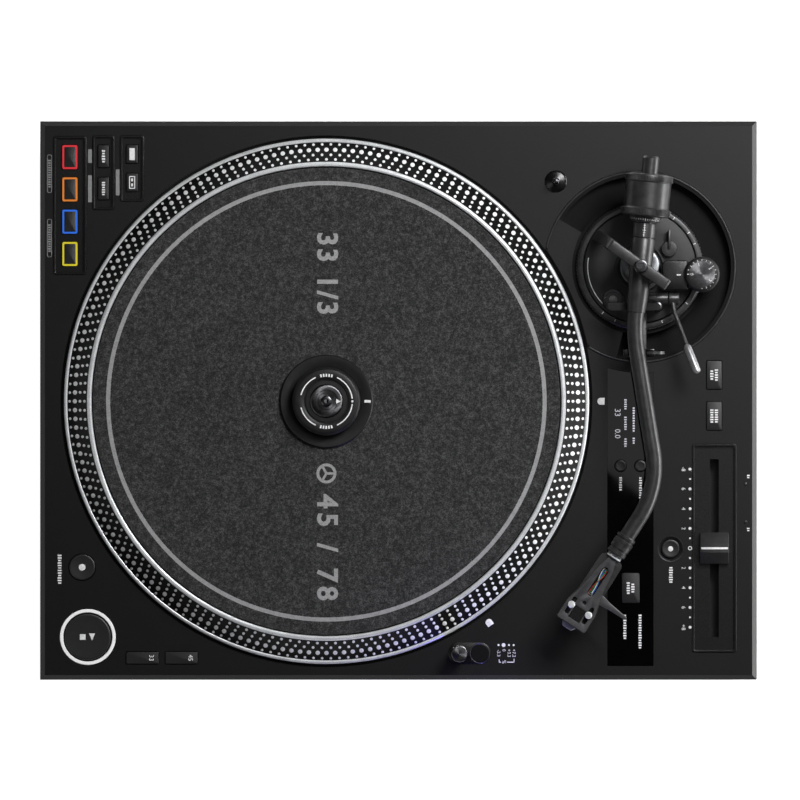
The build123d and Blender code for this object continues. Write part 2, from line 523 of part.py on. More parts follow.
with BuildPart() as rear_sockets:
    # Mains inlet, data socket, pair of phono sockets and the earth terminal.
    block(INLET_X, floor_y + 4, REAR_Z - 9, REAR_Z + 9, 26, 8, 0)
    with BuildSketch(upright(INLET_X, floor_y + 8, REAR_Z), mode=Mode.PRIVATE) as cavity:
        RectangleRounded(20, 13, 2)
    extrude(cavity.sketch, amount=6.5, mode=Mode.SUBTRACT)
    block(DATA_X, floor_y + 3, REAR_Z - 6, REAR_Z + 6, 14, 6)
    with BuildSketch(upright(DATA_X, floor_y + 6, REAR_Z), mode=Mode.PRIVATE) as cavity:
        Rectangle(9, 8)
    extrude(cavity.sketch, amount=4.8, mode=Mode.SUBTRACT)
    for x in PHONO_XS:
        socket = [(0, 0), (0, 6), (2, 6), (2, 4.2), (10, 4.2), (10, 1.8), (4, 1.8), (4, 0)]
        shaft(x, floor_y, REAR_Z, 90, socket)
    shaft(EARTH_X, floor_y, REAR_Z, 90, [
        (0, 0), (0, 4.5), (3, 4.5), (3, 2), (5, 2), (5, 4.5), (11, 4.5), (11, 0),
    ])
save(rear_sockets, "rear_sockets")

with BuildPart() as power_rocker:
    # Rocker on a level pin, one end pressed in.
    with BuildSketch(upright(ROCKER_X - 9.4, floor_y, REAR_Z, heading=90), mode=Mode.PRIVATE) as side:
        with BuildLine():
            Polyline((-3, -5.4), (2.6, -5.4), (1.8, 0), (3.6, 5.4), (-3, 5.4), close=True)
        make_face()
    extrude(side.sketch, amount=18.8)
    pin = [(-10.1, 0), (-10.1, ROCKER_PIN_R), (10.1, ROCKER_PIN_R), (10.1, 0)]
    shaft(ROCKER_X, floor_y, REAR_Z, 0, pin)
save(power_rocker, "power_rocker")

# ---------------------------------------------------------------- tonearm base
with BuildPart() as arm_surround:
    # Moulded surround with a bowl on three sides and a flat land beside the platter.
    disc(ARM_X, ARM_Y, ARM_FLOOR_Z, SURROUND_TOP, SURROUND_R)
    disc(ARM_X, ARM_Y, ARM_FLOOR_Z, SURROUND_TOP, RING_OUT + 0.4, mode=Mode.SUBTRACT)
    with BuildSketch(level(ARM_X, ARM_Y, ARM_FLOOR_Z + 1.8), mode=Mode.PRIVATE) as bowl:
        with BuildLine():
            CenterArc((0, 0), 57.5, -105, 254)
            CenterArc((0, 0), 42.4, -105, 254)
            for angle in (-105, 149):
                Line(Vector(42.4, 0).rotate(Axis.Z, angle), Vector(57.5, 0).rotate(Axis.Z, angle))
        make_face()
    extrude(bowl.sketch, amount=20, mode=Mode.SUBTRACT)
    disc(SPINDLE_X, SPINDLE_Y, ARM_FLOOR_Z - 1, SURROUND_TOP + 1, WELL_R + 0.4, mode=Mode.SUBTRACT)
save(arm_surround, "arm_surround")

with BuildPart() as height_ring:
    # Knurled ring that screws the arm up and down.
    turned(ARM_X, ARM_Y, [
        (RING_IN, ARM_FLOOR_Z + 0.3), (RING_OUT, ARM_FLOOR_Z + 0.3), (RING_OUT, RING_TOP - 1),
        (RING_OUT - 1, RING_TOP), (RING_IN, RING_TOP),
    ])
save(height_ring, "height_ring")

with BuildPart() as arm_base:
    # Disc, guide stem and the cup of the vertical bearing.
    turned(ARM_X, ARM_Y, [
        (4.0 + RUNNING, 70), (ARM_STEM_R, 70), (ARM_STEM_R, 97), (ARM_BASE_R, 97),
        (ARM_BASE_R, ARM_BASE_TOP - 0.5), (ARM_BASE_R - 0.5, ARM_BASE_TOP),
        (15.5, ARM_BASE_TOP), (15.5, 109), (14.1, 109), (14.1, 107), (12.6, 107), (12.6, 110),
        (11.8, 110.8), (4.0 + RUNNING, 110.8),
    ])
    disc(BOSS_X, BOSS_Y, ARM_BASE_TOP, ARM_BASE_TOP + 1.6, 7)
    disc(BOSS_X, BOSS_Y, ARM_BASE_TOP + 0.6, ARM_BASE_TOP + 2, 4.9, mode=Mode.SUBTRACT)
    with BuildSketch(level(ARM_X, ARM_Y, ARM_BASE_TOP - 1.5), mode=Mode.PRIVATE) as groove:
        SlotArc(CenterArc((0, 0), 33, 170, 59), 2.0)
    extrude(groove.sketch, amount=3, mode=Mode.SUBTRACT)
save(arm_base, "arm_base")

with BuildPart() as arm_fittings:
    # Anti-skate housing with the bracket of its dial.
    block(HOUSING_X, HOUSING_Y, ARM_BASE_TOP, HOUSING_TOP, 18.3, 19.6, 3.0)
    fillet(arm_fittings.faces().sort_by(Axis.Z)[-1].edges(), 2.5)
    disc(SKATE_X, SKATE_Y, 108.4, HOUSING_TOP + 1, SKATE_R + 0.4, mode=Mode.SUBTRACT)
    disc(ARM_X, ARM_Y, ARM_BASE_TOP, 110, 15.6, mode=Mode.SUBTRACT)
    block(SKATE_X - 8, SKATE_Y, 106.4, 108.4, 14, 10)
    disc(SKATE_X, SKATE_Y, 106.4, 108.4, 8)
    # Cue cylinder on its foot, with the guide of the lift bar's plunger.
    shaft(157, CUE_Y, CUE_Z, 0, [(0, 0), (0, 4.1), (13.2, 4.1), (13.2, 0)])
    block(163, CUE_Y, ARM_BASE_TOP, CUE_Z, 10, 5)
    disc(PLUNGER_X, PLUNGER_Y, ARM_BASE_TOP, 122, 3.4)
    disc(PLUNGER_X, PLUNGER_Y, ARM_BASE_TOP + 0.3, 123, 2 + RUNNING, mode=Mode.SUBTRACT)
save(arm_fittings, "arm_fittings")

with BuildPart() as anti_skate_dial:
    turned(SKATE_X, SKATE_Y, [
        (0, 108.7), (SKATE_R - 0.6, 108.7), (SKATE_R, 109.4), (SKATE_R, 120.6), (SKATE_R - 1.4, 122),
        (4.2, 122), (3.8, 121.4), (0, 121.4),
    ])
save(anti_skate_dial, "anti_skate_dial")

with BuildPart() as cue_lever:
    # Hub beside the cylinder, bent rod and round handle.
    shaft(170.6, CUE_Y, CUE_Z, 0, [(0, 0), (0, 4.1), (6.6, 4.1), (6.6, 0)])
    rod((173.0, CUE_Y - 1, CUE_Z + 1.5), (174.0, 55.9, 115.2), 1.4)
    rod((174.0, 55.9, 115.2), (181.6, 35.1, 122.8), 1.4)
    rod((181.6, 35.1, 122.8), (188.6, 17.4, 129.2), 2.5)
    with Locations((174.0, 55.9, 115.2)):
        Sphere(1.4)
save(cue_lever, "cue_lever")

with BuildPart() as lift_bar:
    # Curved bar under the tube, on its plunger.
    block(148.3, PLUNGER_Y, LIFT_TOP - 3, LIFT_TOP, 34, 5.2, 2.5)
    disc(PLUNGER_X, PLUNGER_Y, 112, LIFT_TOP - 3, 2)
save(lift_bar, "lift_bar")

with BuildPart() as height_lock:
    disc(LOCK_X, LOCK_Y, ARM_BASE_TOP + 0.3, 109.5, 5.0)
    block(LOCK_X, LOCK_Y + 6, 106, 111, 1.7, 12)
save(height_lock, "height_lock")

with BuildPart() as arm_arch:
    # Fixed arch over the gimbal, standing on the base and on the anti-skate housing.
    arch = [
        (34.6, ARM_BASE_TOP), (34.6, 110), (25.5, 153.5), (23.5, 155.7), (-19.5, 155.7),
        (-21, 154.2), (-21, HOUSING_TOP), (-17.6, HOUSING_TOP), (-17.6, 152.4), (20.5, 152.4),
        (29.0, 110), (29.0, ARM_BASE_TOP),
    ]
    with BuildSketch(upright(ARM_X, ARM_Y, heading=GIMBAL_HEADING + 180), mode=Mode.PRIVATE) as side:
        with BuildLine():
            Polyline(*arch, close=True)
        make_face()
    extrude(side.sketch, amount=3.6, both=True)
    disc(ARM_X, ARM_Y, 152.4, 157.6, 4.4)
    disc(ARM_X, ARM_Y, 150.2, 152.4, PIVOT_PIN_R)
save(arm_arch, "arm_arch")

with BuildPart() as armrest:
    # Bracket out over the height ring, post and cradle, low on the platter's side.
    block(ARM_X - 0.4, 42, 106.0, 109.0, 9, 30, 3)
    disc(ARM_X - 0.4, 53, ARM_BASE_TOP, 106.0, 4.2)
    block(REST_X + 1.2, REST_Y, 106.0, 130.0, 7, 6, 2)
    block(REST_X + 1, REST_Y, 129.0, 134.4, 20, 5, 1.5)
    block(REST_X + 8.3, REST_Y, 134.0, 137.6, 5.4, 5, 1.0)
    block(REST_X + 8.3, REST_Y, 133.2, 141.0, 9.0, 2.4, mode=Mode.SUBTRACT)
save(armrest, "armrest")

with BuildPart() as armrest_clamp:
    # Hook that closes over the tube, shown open about its pin.
    opened = (cos(radians(HOOK_OPEN)), 0, -sin(radians(HOOK_OPEN)))
    hinge = Plane(origin=(HINGE_X, REST_Y - 0.9, HINGE_Z), x_dir=opened, z_dir=(0, -1, 0))
    with BuildSketch(hinge.offset(-1.8), mode=Mode.PRIVATE) as hook:
        with Locations((REST_X - HINGE_X, ARM_Z - HINGE_Z)):
            Circle(7.4)
            Circle(5.7, mode=Mode.SUBTRACT)
            with Locations((-3.4, -10.6)):
                Rectangle(16, 20, mode=Mode.SUBTRACT)
            with Locations((0, -15)):
                Rectangle(22, 20, mode=Mode.SUBTRACT)
        Circle(2.6)
    extrude(hook.sketch, amount=1.8)
save(armrest_clamp, "armrest_clamp")

# ---------------------------------------------------------------- tonearm
with BuildPart() as gimbal_frame:
    # Upright frame that swings on the vertical shaft and carries the level pivots.
    with BuildSketch(upright(ARM_X, ARM_Y, ARM_Z, GIMBAL_HEADING), mode=Mode.PRIVATE) as window:
        with Locations((0, 0)):
            RectangleRounded(31.2, 23.2, 2.4)
            RectangleRounded(25.2, 18.2, 1.4, mode=Mode.SUBTRACT)
    extrude(window.sketch, amount=3.4, both=True)
    disc(ARM_X, ARM_Y, 108, 128.6, 4.0)
    disc(ARM_X, ARM_Y, 150.0, 152.0, PIVOT_PIN_R + RUNNING, mode=Mode.SUBTRACT)
    for side in (0, 180):
        heading = GIMBAL_HEADING + side
        shaft(ARM_X, ARM_Y, ARM_Z, heading, [(4.6, 0), (4.6, PIVOT_PIN_R), (16.6, PIVOT_PIN_R), (16.6, 0)])
save(gimbal_frame, "gimbal_frame")

with BuildPart() as arm_housing:
    # Turned housing at the pivots, scale sleeve and the stub of the counterweight.
    shaft(ARM_X, ARM_Y, ARM_Z, REAR_HEADING, [
        (-29.1, 0), (-29.1, 5.6), (-20.6, 6.4), (-20.3, 6.4), (17.8, 7.6), (17.8, 6.4),
        (18.4, 6.4), (18.4, 7.2), (27.4, 7.2), (27.4, 5.2), (68.6, 5.2), (69.8, 4.4), (69.8, 0),
    ])
    hole = [(-11, 0), (-11, PIVOT_PIN_R + RUNNING), (11, PIVOT_PIN_R + RUNNING), (11, 0)]
    shaft(ARM_X, ARM_Y, ARM_Z, GIMBAL_HEADING, hole, mode=Mode.SUBTRACT)
save(arm_housing, "arm_housing")

nut_back = along(*BEND_B, HEAD_HEADING, NUT_AT)
with BuildPart() as arm_tube:
    # S-shaped tube from the housing to the end of the lock nut.
    front = along(0, 0, ARM_HEADING, 29.1)
    tip = along(*nut_back, HEAD_HEADING, NUT_LENGTH - 0.2)
    with BuildLine(mode=Mode.PRIVATE) as route:
        FilletPolyline(
            (ARM_X + front[0], ARM_Y + front[1], ARM_Z),
            (ARM_X + BEND_A[0], ARM_Y + BEND_A[1], ARM_Z),
            (ARM_X + BEND_B[0], ARM_Y + BEND_B[1], ARM_Z),
            (ARM_X + tip[0], ARM_Y + tip[1], ARM_Z),
            radius=list(BEND_RADII),
        )
    with BuildSketch(upright(ARM_X + front[0], ARM_Y + front[1], ARM_Z, ARM_HEADING + 90)) as bore:
        Circle(TUBE_R)
    sweep(path=route.line)
save(arm_tube, "arm_tube")

NUT_X, NUT_Y = ARM_X + nut_back[0], ARM_Y + nut_back[1]
with BuildPart() as lock_nut:
    shaft(NUT_X, NUT_Y, ARM_Z, HEAD_HEADING, [
        (0, TUBE_R + RUNNING), (0, 6.0), (0.6, 6.5), (NUT_LENGTH - 0.6, 6.5), (NUT_LENGTH, 6.0),
        (NUT_LENGTH, TUBE_R + RUNNING),
    ])
save(lock_nut, "lock_nut")

# The weight and its gauge ring ride on the stub behind the housing.
with BuildPart() as gauge_ring:
    shaft(ARM_X, ARM_Y, ARM_Z, REAR_HEADING, [
        (28.0, 5.5), (28.0, 8.4), (31.4, 10.2), (31.4, 7.0), (56.0, 7.0), (56.0, 5.5),
    ])
save(gauge_ring, "gauge_ring")

with BuildPart() as counterweight:
    shaft(ARM_X, ARM_Y, ARM_Z, REAR_HEADING, [
        (31.8, 7.3), (31.8, 14.6), (32.4, 15.4), (36.8, 15.4), (37.3, 14.5), (53.1, 14.5),
        (53.6, 15.1), (57.6, 15.1), (58.4, 14.3), (58.4, 9.0), (56.6, 7.3),
    ])
save(counterweight, "counterweight")

# ---------------------------------------------------------------- headshell
HEAD_X, HEAD_Y = along(NUT_X, NUT_Y, HEAD_HEADING, SHELL_AT)
with BuildPart() as headshell:
    # Shell with its window, slots and finger lift, on a short neck.
    outline = [
        (0, 5.0), (1.4, 7.2), (3.4, 7.9), (27, 8.2), (37, 10.4), (49, 10.6), (50.3, 9.8),
        (50.3, -9.8), (49, -10.6), (37, -10.4), (27, -8.2), (3.4, -7.9), (1.4, -7.2), (0, -5.0),
    ]
    with BuildSketch(level(HEAD_X, HEAD_Y, SHELL_BOTTOM, HEAD_HEADING), mode=Mode.PRIVATE) as shell:
        with BuildLine():
            Polyline(*outline, close=True)
        make_face()
        with Locations((18.0, 0)):
            SlotOverall(21, 3.8, mode=Mode.SUBTRACT)
        with Locations((33.7, 0)):
            Circle(1.3, mode=Mode.SUBTRACT)
        with Locations((39.5, 6.35), (39.5, -6.35)):
            SlotOverall(12, 3.0, mode=Mode.SUBTRACT)
    extrude(shell.sketch, amount=SHELL_TOP - SHELL_BOTTOM)
    shaft(HEAD_X, HEAD_Y, ARM_Z, HEAD_HEADING, [(-2.1, 0), (-2.1, 4.9), (-0.7, 4.9), (0.6, 4.4), (0.6, 0)])
    x1, y1 = along(HEAD_X, HEAD_Y, HEAD_HEADING, 25.5, 7.6)
    x2, y2 = along(HEAD_X, HEAD_Y, HEAD_HEADING, 26.5, 24.0)
    x3, y3 = along(HEAD_X, HEAD_Y, HEAD_HEADING, 26.8, 28.0)
    rod((x1, y1, 140.6), (x2, y2, 141.2), 1.2)
    rod((x2, y2, 141.2), (x3, y3, 144.0), 1.1)
save(headshell, "headshell")

with BuildPart() as cartridge:
    # Cartridge body, stylus holder, cantilever with its tip, and the two mounting screws.
    x, y = along(HEAD_X, HEAD_Y, HEAD_HEADING, 36.0)
    block(x, y, 126, SHELL_BOTTOM, 27, 15.6, 1.2, HEAD_HEADING)
    x, y = along(HEAD_X, HEAD_Y, HEAD_HEADING, STYLUS_U, STYLUS_SIDE)
    block(x, y, 122, 132, 12.6, 9.7, 1.0, HEAD_HEADING)
    x1, y1 = along(HEAD_X, HEAD_Y, HEAD_HEADING, STYLUS_U - 7, STYLUS_SIDE)
    x2, y2 = along(HEAD_X, HEAD_Y, HEAD_HEADING, STYLUS_U, STYLUS_SIDE)
    rod((x1, y1, 122.6), (x2, y2, 119.6), 0.5)
    disc(x2, y2, STYLUS_TIP, 120.2, 0.5)
    for side in (-1, 1):
        x, y = along(HEAD_X, HEAD_Y, HEAD_HEADING, SCREW_U, side * SCREW_SIDE)
        disc(x, y, SHELL_TOP, SHELL_TOP + 1.4, 2.3)
        disc(x, y, 137, SHELL_TOP, 1.25)
save(cartridge, "cartridge")
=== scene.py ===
"""Looks of a direct-drive record player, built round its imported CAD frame.

Lengths are written in millimetres and turned into metres by mm(). The frame is the CAD's:
+X to the player's right, +Y to the back, +Z up, origin on the table.
"""

import json
from math import atan2, cos, degrees, hypot, pi, radians, sin, tan

import bpy
from mathutils import Matrix, Vector


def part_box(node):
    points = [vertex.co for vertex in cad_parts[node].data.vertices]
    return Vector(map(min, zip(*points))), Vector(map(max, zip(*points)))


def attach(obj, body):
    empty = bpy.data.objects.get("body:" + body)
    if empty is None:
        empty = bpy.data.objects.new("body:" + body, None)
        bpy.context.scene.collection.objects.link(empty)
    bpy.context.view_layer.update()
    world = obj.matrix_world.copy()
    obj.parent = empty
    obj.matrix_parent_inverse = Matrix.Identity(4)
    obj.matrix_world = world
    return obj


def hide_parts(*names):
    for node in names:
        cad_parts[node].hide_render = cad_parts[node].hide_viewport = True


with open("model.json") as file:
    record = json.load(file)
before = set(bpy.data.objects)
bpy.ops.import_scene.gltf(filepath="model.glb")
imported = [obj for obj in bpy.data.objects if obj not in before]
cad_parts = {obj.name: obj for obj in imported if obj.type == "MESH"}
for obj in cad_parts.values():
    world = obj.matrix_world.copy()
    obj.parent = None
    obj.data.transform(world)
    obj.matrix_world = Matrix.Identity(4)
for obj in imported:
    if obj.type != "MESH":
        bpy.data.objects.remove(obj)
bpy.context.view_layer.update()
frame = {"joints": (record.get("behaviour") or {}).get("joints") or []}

MM = 0.001


# ---------------------------------------------------------------- small tools
def mm(*values):
    """Millimetres to metres: one value alone, several as a vector."""
    if len(values) == 1:
        return values[0] * MM
    return Vector([value * MM for value in values])


def box_mm(node):
    """Lowest and highest corner of a CAD node, in millimetres."""
    low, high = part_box(node)
    return low / MM, high / MM


def middle(node):
    """Middle of a CAD node's box, in millimetres."""
    low, high = box_mm(node)
    return (low + high) / 2


def joint(name):
    """A joint of the record by its name."""
    return next(j for j in frame["joints"] if j["name"] == name)


def start_clean():
    """Leaves edit mode and deselects everything."""
    if bpy.context.object and bpy.context.object.mode != "OBJECT":
        bpy.ops.object.mode_set(mode="OBJECT")
    bpy.ops.object.select_all(action="DESELECT")


def only(piece):
    """Makes a piece the one selected and active object."""
    start_clean()
    piece.select_set(True)
    bpy.context.view_layer.objects.active = piece


def settle(piece, matrix=None):
    """Turns and moves a piece's mesh to its place and leaves its object at the origin."""
    only(piece)
    bpy.ops.object.transform_apply(location=True, rotation=True, scale=True)
    if matrix is not None:
        piece.data.transform(matrix)
    piece.data.update()
    return piece


def smooth(piece, angle=32):
    """Smooth shading that breaks at edges sharper than the angle."""
    only(piece)
    bpy.ops.object.shade_smooth_by_angle(angle=radians(angle))
    return piece


def coat(piece, material, body, stands_for=()):
    """Gives a finished piece its material and its body, and hides the CAD nodes that it stands for."""
    if not piece.data.materials:
        piece.data.materials.append(material)
    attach(piece, body)
    if stands_for:
        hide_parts(*stands_for)
    return piece


def turn(name, rings, sides=96, closed=False, matrix=None):
    """A turned piece on the Z axis, drawn up ring by ring from (radius, height) in mm."""
    start_clean()
    radius, height = rings[0]
    bpy.ops.mesh.primitive_circle_add(vertices=sides, radius=mm(radius), location=(0, 0, mm(height)))
    piece = bpy.context.object
    piece.name = piece.data.name = name
    bpy.ops.object.mode_set(mode="EDIT")
    bpy.ops.mesh.select_all(action="SELECT")
    if not closed:
        bpy.ops.mesh.edge_face_add()
        bpy.ops.mesh.select_all(action="SELECT")
    for next_radius, next_height in rings[1:]:
        rise = {"value": (0, 0, mm(next_height - height))}
        if closed:
            bpy.ops.mesh.extrude_edges_move(TRANSFORM_OT_translate=rise)
        else:
            bpy.ops.mesh.extrude_region_move(TRANSFORM_OT_translate=rise)
        scale = next_radius / radius
        bpy.ops.transform.resize(value=(scale, scale, 1), center_override=(0, 0, mm(next_height)))
        radius, height = next_radius, next_height
    bpy.ops.mesh.select_all(action="SELECT")
    if closed:
        bpy.ops.mesh.remove_doubles(threshold=1e-6)
    bpy.ops.mesh.normals_make_consistent(inside=False)
    bpy.ops.object.mode_set(mode="OBJECT")
    return smooth(settle(piece, matrix))


def flat_face(name, outline, height):
    """A flat face with its corners on an outline in mm, left in edit mode with everything selected."""
    start_clean()
    bpy.ops.mesh.primitive_circle_add(vertices=len(outline), radius=mm(1), fill_type="NGON")
    piece = bpy.context.object
    piece.name = piece.data.name = name
    for corner, (x, y) in zip(piece.data.vertices, outline):
        corner.co = mm(x, y, height)
    bpy.ops.object.mode_set(mode="EDIT")
    bpy.ops.mesh.select_all(action="SELECT")
    return piece


def draw_up(distance):
    """Extrudes the mesh in edit mode upwards by a distance in mm, and leaves edit mode."""
    bpy.ops.mesh.select_all(action="SELECT")
    bpy.ops.mesh.extrude_region_move(TRANSFORM_OT_translate={"value": (0, 0, mm(distance))})
    bpy.ops.mesh.select_all(action="SELECT")
    bpy.ops.mesh.normals_make_consistent(inside=False)
    bpy.ops.object.mode_set(mode="OBJECT")


def slab(name, outline, low, high, bevel=0.3, matrix=None, steps=2):
    """A flat piece from an outline of (x, y) corners, extruded between two heights and bevelled."""
    piece = flat_face(name, outline, low)
    draw_up(high - low)
    if bevel:
        soften(piece, bevel, steps)
    return smooth(settle(piece, matrix))


def soften(piece, width, steps=2, angle=35):
    """Rounds a piece's sharp edges with an applied bevel."""
    only(piece)
    rounding = piece.modifiers.new("rounding", "BEVEL")
    rounding.width = mm(width)
    rounding.segments = steps
    rounding.limit_method = "ANGLE"
    rounding.angle_limit = radians(angle)
    rounding.harden_normals = False
    bpy.ops.object.modifier_apply(modifier=rounding.name)
    return piece


def brick(name, centre, size, bevel=0.3, turned_by=0.0, steps=2):
    """A bevelled block at a place in mm, turned about the vertical by degrees."""
    start_clean()
    bpy.ops.mesh.primitive_cube_add(size=1, location=mm(*centre), rotation=(0, 0, radians(turned_by)))
    piece = bpy.context.object
    piece.name = piece.data.name = name
    piece.scale = mm(*size)
    settle(piece)
    if bevel:
        soften(piece, bevel, steps)
    return smooth(piece)


def copies(piece, places):
    """Copies a modelled piece to each place (a matrix) and joins the copies into one piece."""
    name = piece.name
    made = []
    for place in places:
        copy = piece.copy()
        copy.data = piece.data.copy()
        copy.data.transform(place)
        bpy.context.scene.collection.objects.link(copy)
        made.append(copy)
    start_clean()
    mesh = piece.data
    bpy.data.objects.remove(piece)
    bpy.data.meshes.remove(mesh)
    return join(name, made)


def join(name, pieces):
    """Joins pieces into one, under a name."""
    start_clean()
    for piece in pieces:
        piece.select_set(True)
    bpy.context.view_layer.objects.active = pieces[0]
    if len(pieces) > 1:
        bpy.ops.object.join()
    whole = bpy.context.object
    whole.name = whole.data.name = name
    return whole


def round_places(count, radius, height, matrix, start=0.0):
    """Places evenly spaced round the Z axis, at a radius and height in mm, facing outwards."""
    places = []
    for i in range(count):
        angle = radians(start + 360 * i / count)
        places.append(matrix @ Matrix.Rotation(angle, 4, "Z") @ Matrix.Translation(mm(radius, 0, height)))
    return places


def knurls(name, count, radius, height, size, matrix, cut=0.2):
    """Straight knurling: one rib copied round an axis."""
    start_clean()
    bpy.ops.mesh.primitive_cube_add(size=1)
    rib = bpy.context.object
    rib.name = rib.data.name = name
    rib.scale = mm(*size)
    settle(rib)
    soften(rib, cut, 1)
    return copies(rib, round_places(count, radius, height, matrix))


def level_axis(x, y, z, heading):
    """Matrix that lays the Z axis level along a heading, at a point in mm."""
    lay = Matrix.Rotation(radians(heading), 4, "Z") @ Matrix.Rotation(radians(90), 4, "Y")
    return Matrix.Translation(mm(x, y, z)) @ lay


def standing(x, y, z=0.0, heading=0.0):
    """Matrix that stands a piece at a point in mm, turned about the vertical."""
    return Matrix.Translation(mm(x, y, z)) @ Matrix.Rotation(radians(heading), 4, "Z")


def along(x, y, heading, forward, sideways=0.0):
    """The point a distance forward of (x, y) on a heading, and sideways to its left."""
    c, s = cos(radians(heading)), sin(radians(heading))
    return x + forward * c - sideways * s, y + forward * s + sideways * c


# Text size for figures of height 1, and the thickness of the ink in mm.
TEXT_TO_FIGURE, INK_THICKNESS = 1.38, 0.03


def figure(name, text, centre, height, heading=0.0, spacing=1.0, bold=0.0):
    """Printed figures as a thin mesh, with their middle at a place in mm."""
    start_clean()
    bpy.ops.object.text_add(location=(0, 0, 0))
    words = bpy.context.object
    words.data.body = text
    words.data.size = mm(height) * TEXT_TO_FIGURE
    words.data.space_character = spacing
    words.data.align_x = "CENTER"
    words.data.align_y = "CENTER"
    words.data.extrude = mm(INK_THICKNESS) / 2
    words.data.offset = mm(height) * bold
    words.data.resolution_u = 3
    bpy.ops.object.convert(target="MESH")
    piece = bpy.context.object
    piece.name = piece.data.name = name
    return settle(piece, standing(*centre, heading))


def arc_band(name, radius, width, height, start, sweep, matrix, thick=0.04, steps=48):
    """A thin printed arc round the Z axis."""
    corners = []
    for r in (radius + width / 2, radius - width / 2):
        span = range(steps + 1) if r > radius else range(steps, -1, -1)
        for i in span:
            angle = radians(start + sweep * i / steps)
            corners.append((r * cos(angle), r * sin(angle)))
    return slab(name, corners, height, height + thick, bevel=0, matrix=matrix)


def tube(name, points, radius, sides):
    """A round bar or wire through points in mm, as a mesh."""
    start_clean()
    data = bpy.data.curves.new(name, "CURVE")
    data.dimensions = "3D"
    data.bevel_depth = mm(radius)
    data.bevel_resolution = sides
    data.use_fill_caps = True
    line = data.splines.new("POLY")
    line.points.add(len(points) - 1)
    for point, place in zip(line.points, points):
        point.co = (*mm(*place), 1)
    piece = bpy.data.objects.new(name, data)
    bpy.context.scene.collection.objects.link(piece)
    only(piece)
    bpy.ops.object.convert(target="MESH")
    piece = bpy.context.object
    piece.name = piece.data.name = name
    return smooth(piece, 40)


# ---------------------------------------------------------------- materials
def linear(hex_colour):
    """An sRGB hex colour as linear RGBA."""
    parts = [int(hex_colour[i:i + 2], 16) / 255 for i in (1, 3, 5)]
    return (*[p / 12.92 if p <= 0.04045 else ((p + 0.055) / 1.055) ** 2.4 for p in parts], 1)


def add(material, kind, links=(), **settings):
    """Adds a node with its settings, in_NAME or in_NUMBER for an input's value, and links its inputs."""
    node = material.node_tree.nodes.new(kind)
    for key, value in settings.items():
        if key.startswith("in_"):
            name = key[3:].replace("_", " ")
            node.inputs[int(name) if name.isdigit() else name].default_value = value
        else:
            setattr(node, key, value)
    for target, source in links:
        material.node_tree.links.new(source, node.inputs[target])
    return node


def finish_of(name, metallic=0.0, roughness=0.5, **sockets):
    """A new material with its principled shader set to constants, and its object coordinates."""
    material = bpy.data.materials.new(name)
    material.use_nodes = True
    shader = material.node_tree.nodes["Principled BSDF"]
    shader.inputs["Metallic"].default_value = metallic
    shader.inputs["Roughness"].default_value = roughness
    for key, value in sockets.items():
        shader.inputs[key.replace("_", " ")].default_value = value
    place = add(material, "ShaderNodeTexCoord").outputs["Object"]
    return material, shader, place


def tones(material, factor, stops):
    """A colour ramp over a factor from (position, hex) stops."""
    ramp = add(material, "ShaderNodeValToRGB", [("Fac", factor)])
    elements = ramp.color_ramp.elements
    elements[0].position, elements[0].color = stops[0][0], linear(stops[0][1])
    elements[1].position, elements[1].color = stops[-1][0], linear(stops[-1][1])
    for position, colour in stops[1:-1]:
        element = elements.new(position)
        element.color = linear(colour)
    return ramp.outputs["Color"]


def grain(material, place, size, detail=3.0, rough=0.55):
    """A noise whose features are about a size in mm."""
    noise = add(material, "ShaderNodeTexNoise", [("Vector", place)], in_Scale=1 / mm(size), in_Detail=detail,
                in_Roughness=rough)
    return noise.outputs["Fac"]


def spread(material, factor, low, high):
    """A factor moved to the range from low to high."""
    span = add(material, "ShaderNodeMapRange", [("Value", factor)], in_From_Min=0.3, in_From_Max=0.7,
               in_To_Min=low, in_To_Max=high)
    return span.outputs["Result"]


def relief(material, shader, factor, depth, strength=0.5):
    """Bump from a factor, its depth in mm."""
    bump = add(material, "ShaderNodeBump", [("Height", factor)], in_Strength=strength, in_Distance=mm(depth))
    link(material, bump.outputs["Normal"], shader.inputs["Normal"])


def link(material, source, socket):
    """Links one socket to another."""
    material.node_tree.links.new(source, socket)


def coated(name, dark, light, roughness, mottle_mm, grit_mm, depth, metallic=0.0, sway=0.05, **sockets):
    """Paint, resin or plating: two close tones in a mottle, and a fine grit that breaks the gloss."""
    material, shader, place = finish_of(name, metallic, roughness, **sockets)
    link(material, tones(material, grain(material, place, mottle_mm), [(0.35, dark), (0.65, light)]),
         shader.inputs["Base Color"])
    grit = grain(material, place, grit_mm, 2.0)
    link(material, spread(material, grit, roughness - sway, roughness + sway), shader.inputs["Roughness"])
    relief(material, shader, grit, depth)
    return material


# Die-cast aluminium under satin powder coat: a near-black skin with a fine orange peel.
POWDER_COAT = coated("powder_coated_aluminium", "#040404", "#060606", 0.38, 9.0, 0.45, 0.03,
                     Specular_IOR_Level=0.36)
# Glass-filled resin, spark-eroded mould: a duller black with a coarser grit.
TUB_RESIN = coated("moulded_glass_filled_resin", "#101011", "#151516", 0.6, 14.0, 0.6, 0.05)
# Moulded ABS with a light texture, on the trays, keys and the arm's surround.
ABS = coated("moulded_abs", "#030303", "#050505", 0.28, 6.0, 0.3, 0.015)
# The arm's bowl, spark-eroded so that it takes no gloss.
BOWL_ABS = coated("spark_eroded_abs", "#020202", "#040404", 0.6, 6.0, 0.3, 0.015, Specular_IOR_Level=0.15)
# Keys of the same plastic, a shade lighter and smoother from wear.
KEY_ABS = coated("moulded_abs_key", "#151516", "#1A1A1B", 0.4, 4.0, 0.25, 0.015)
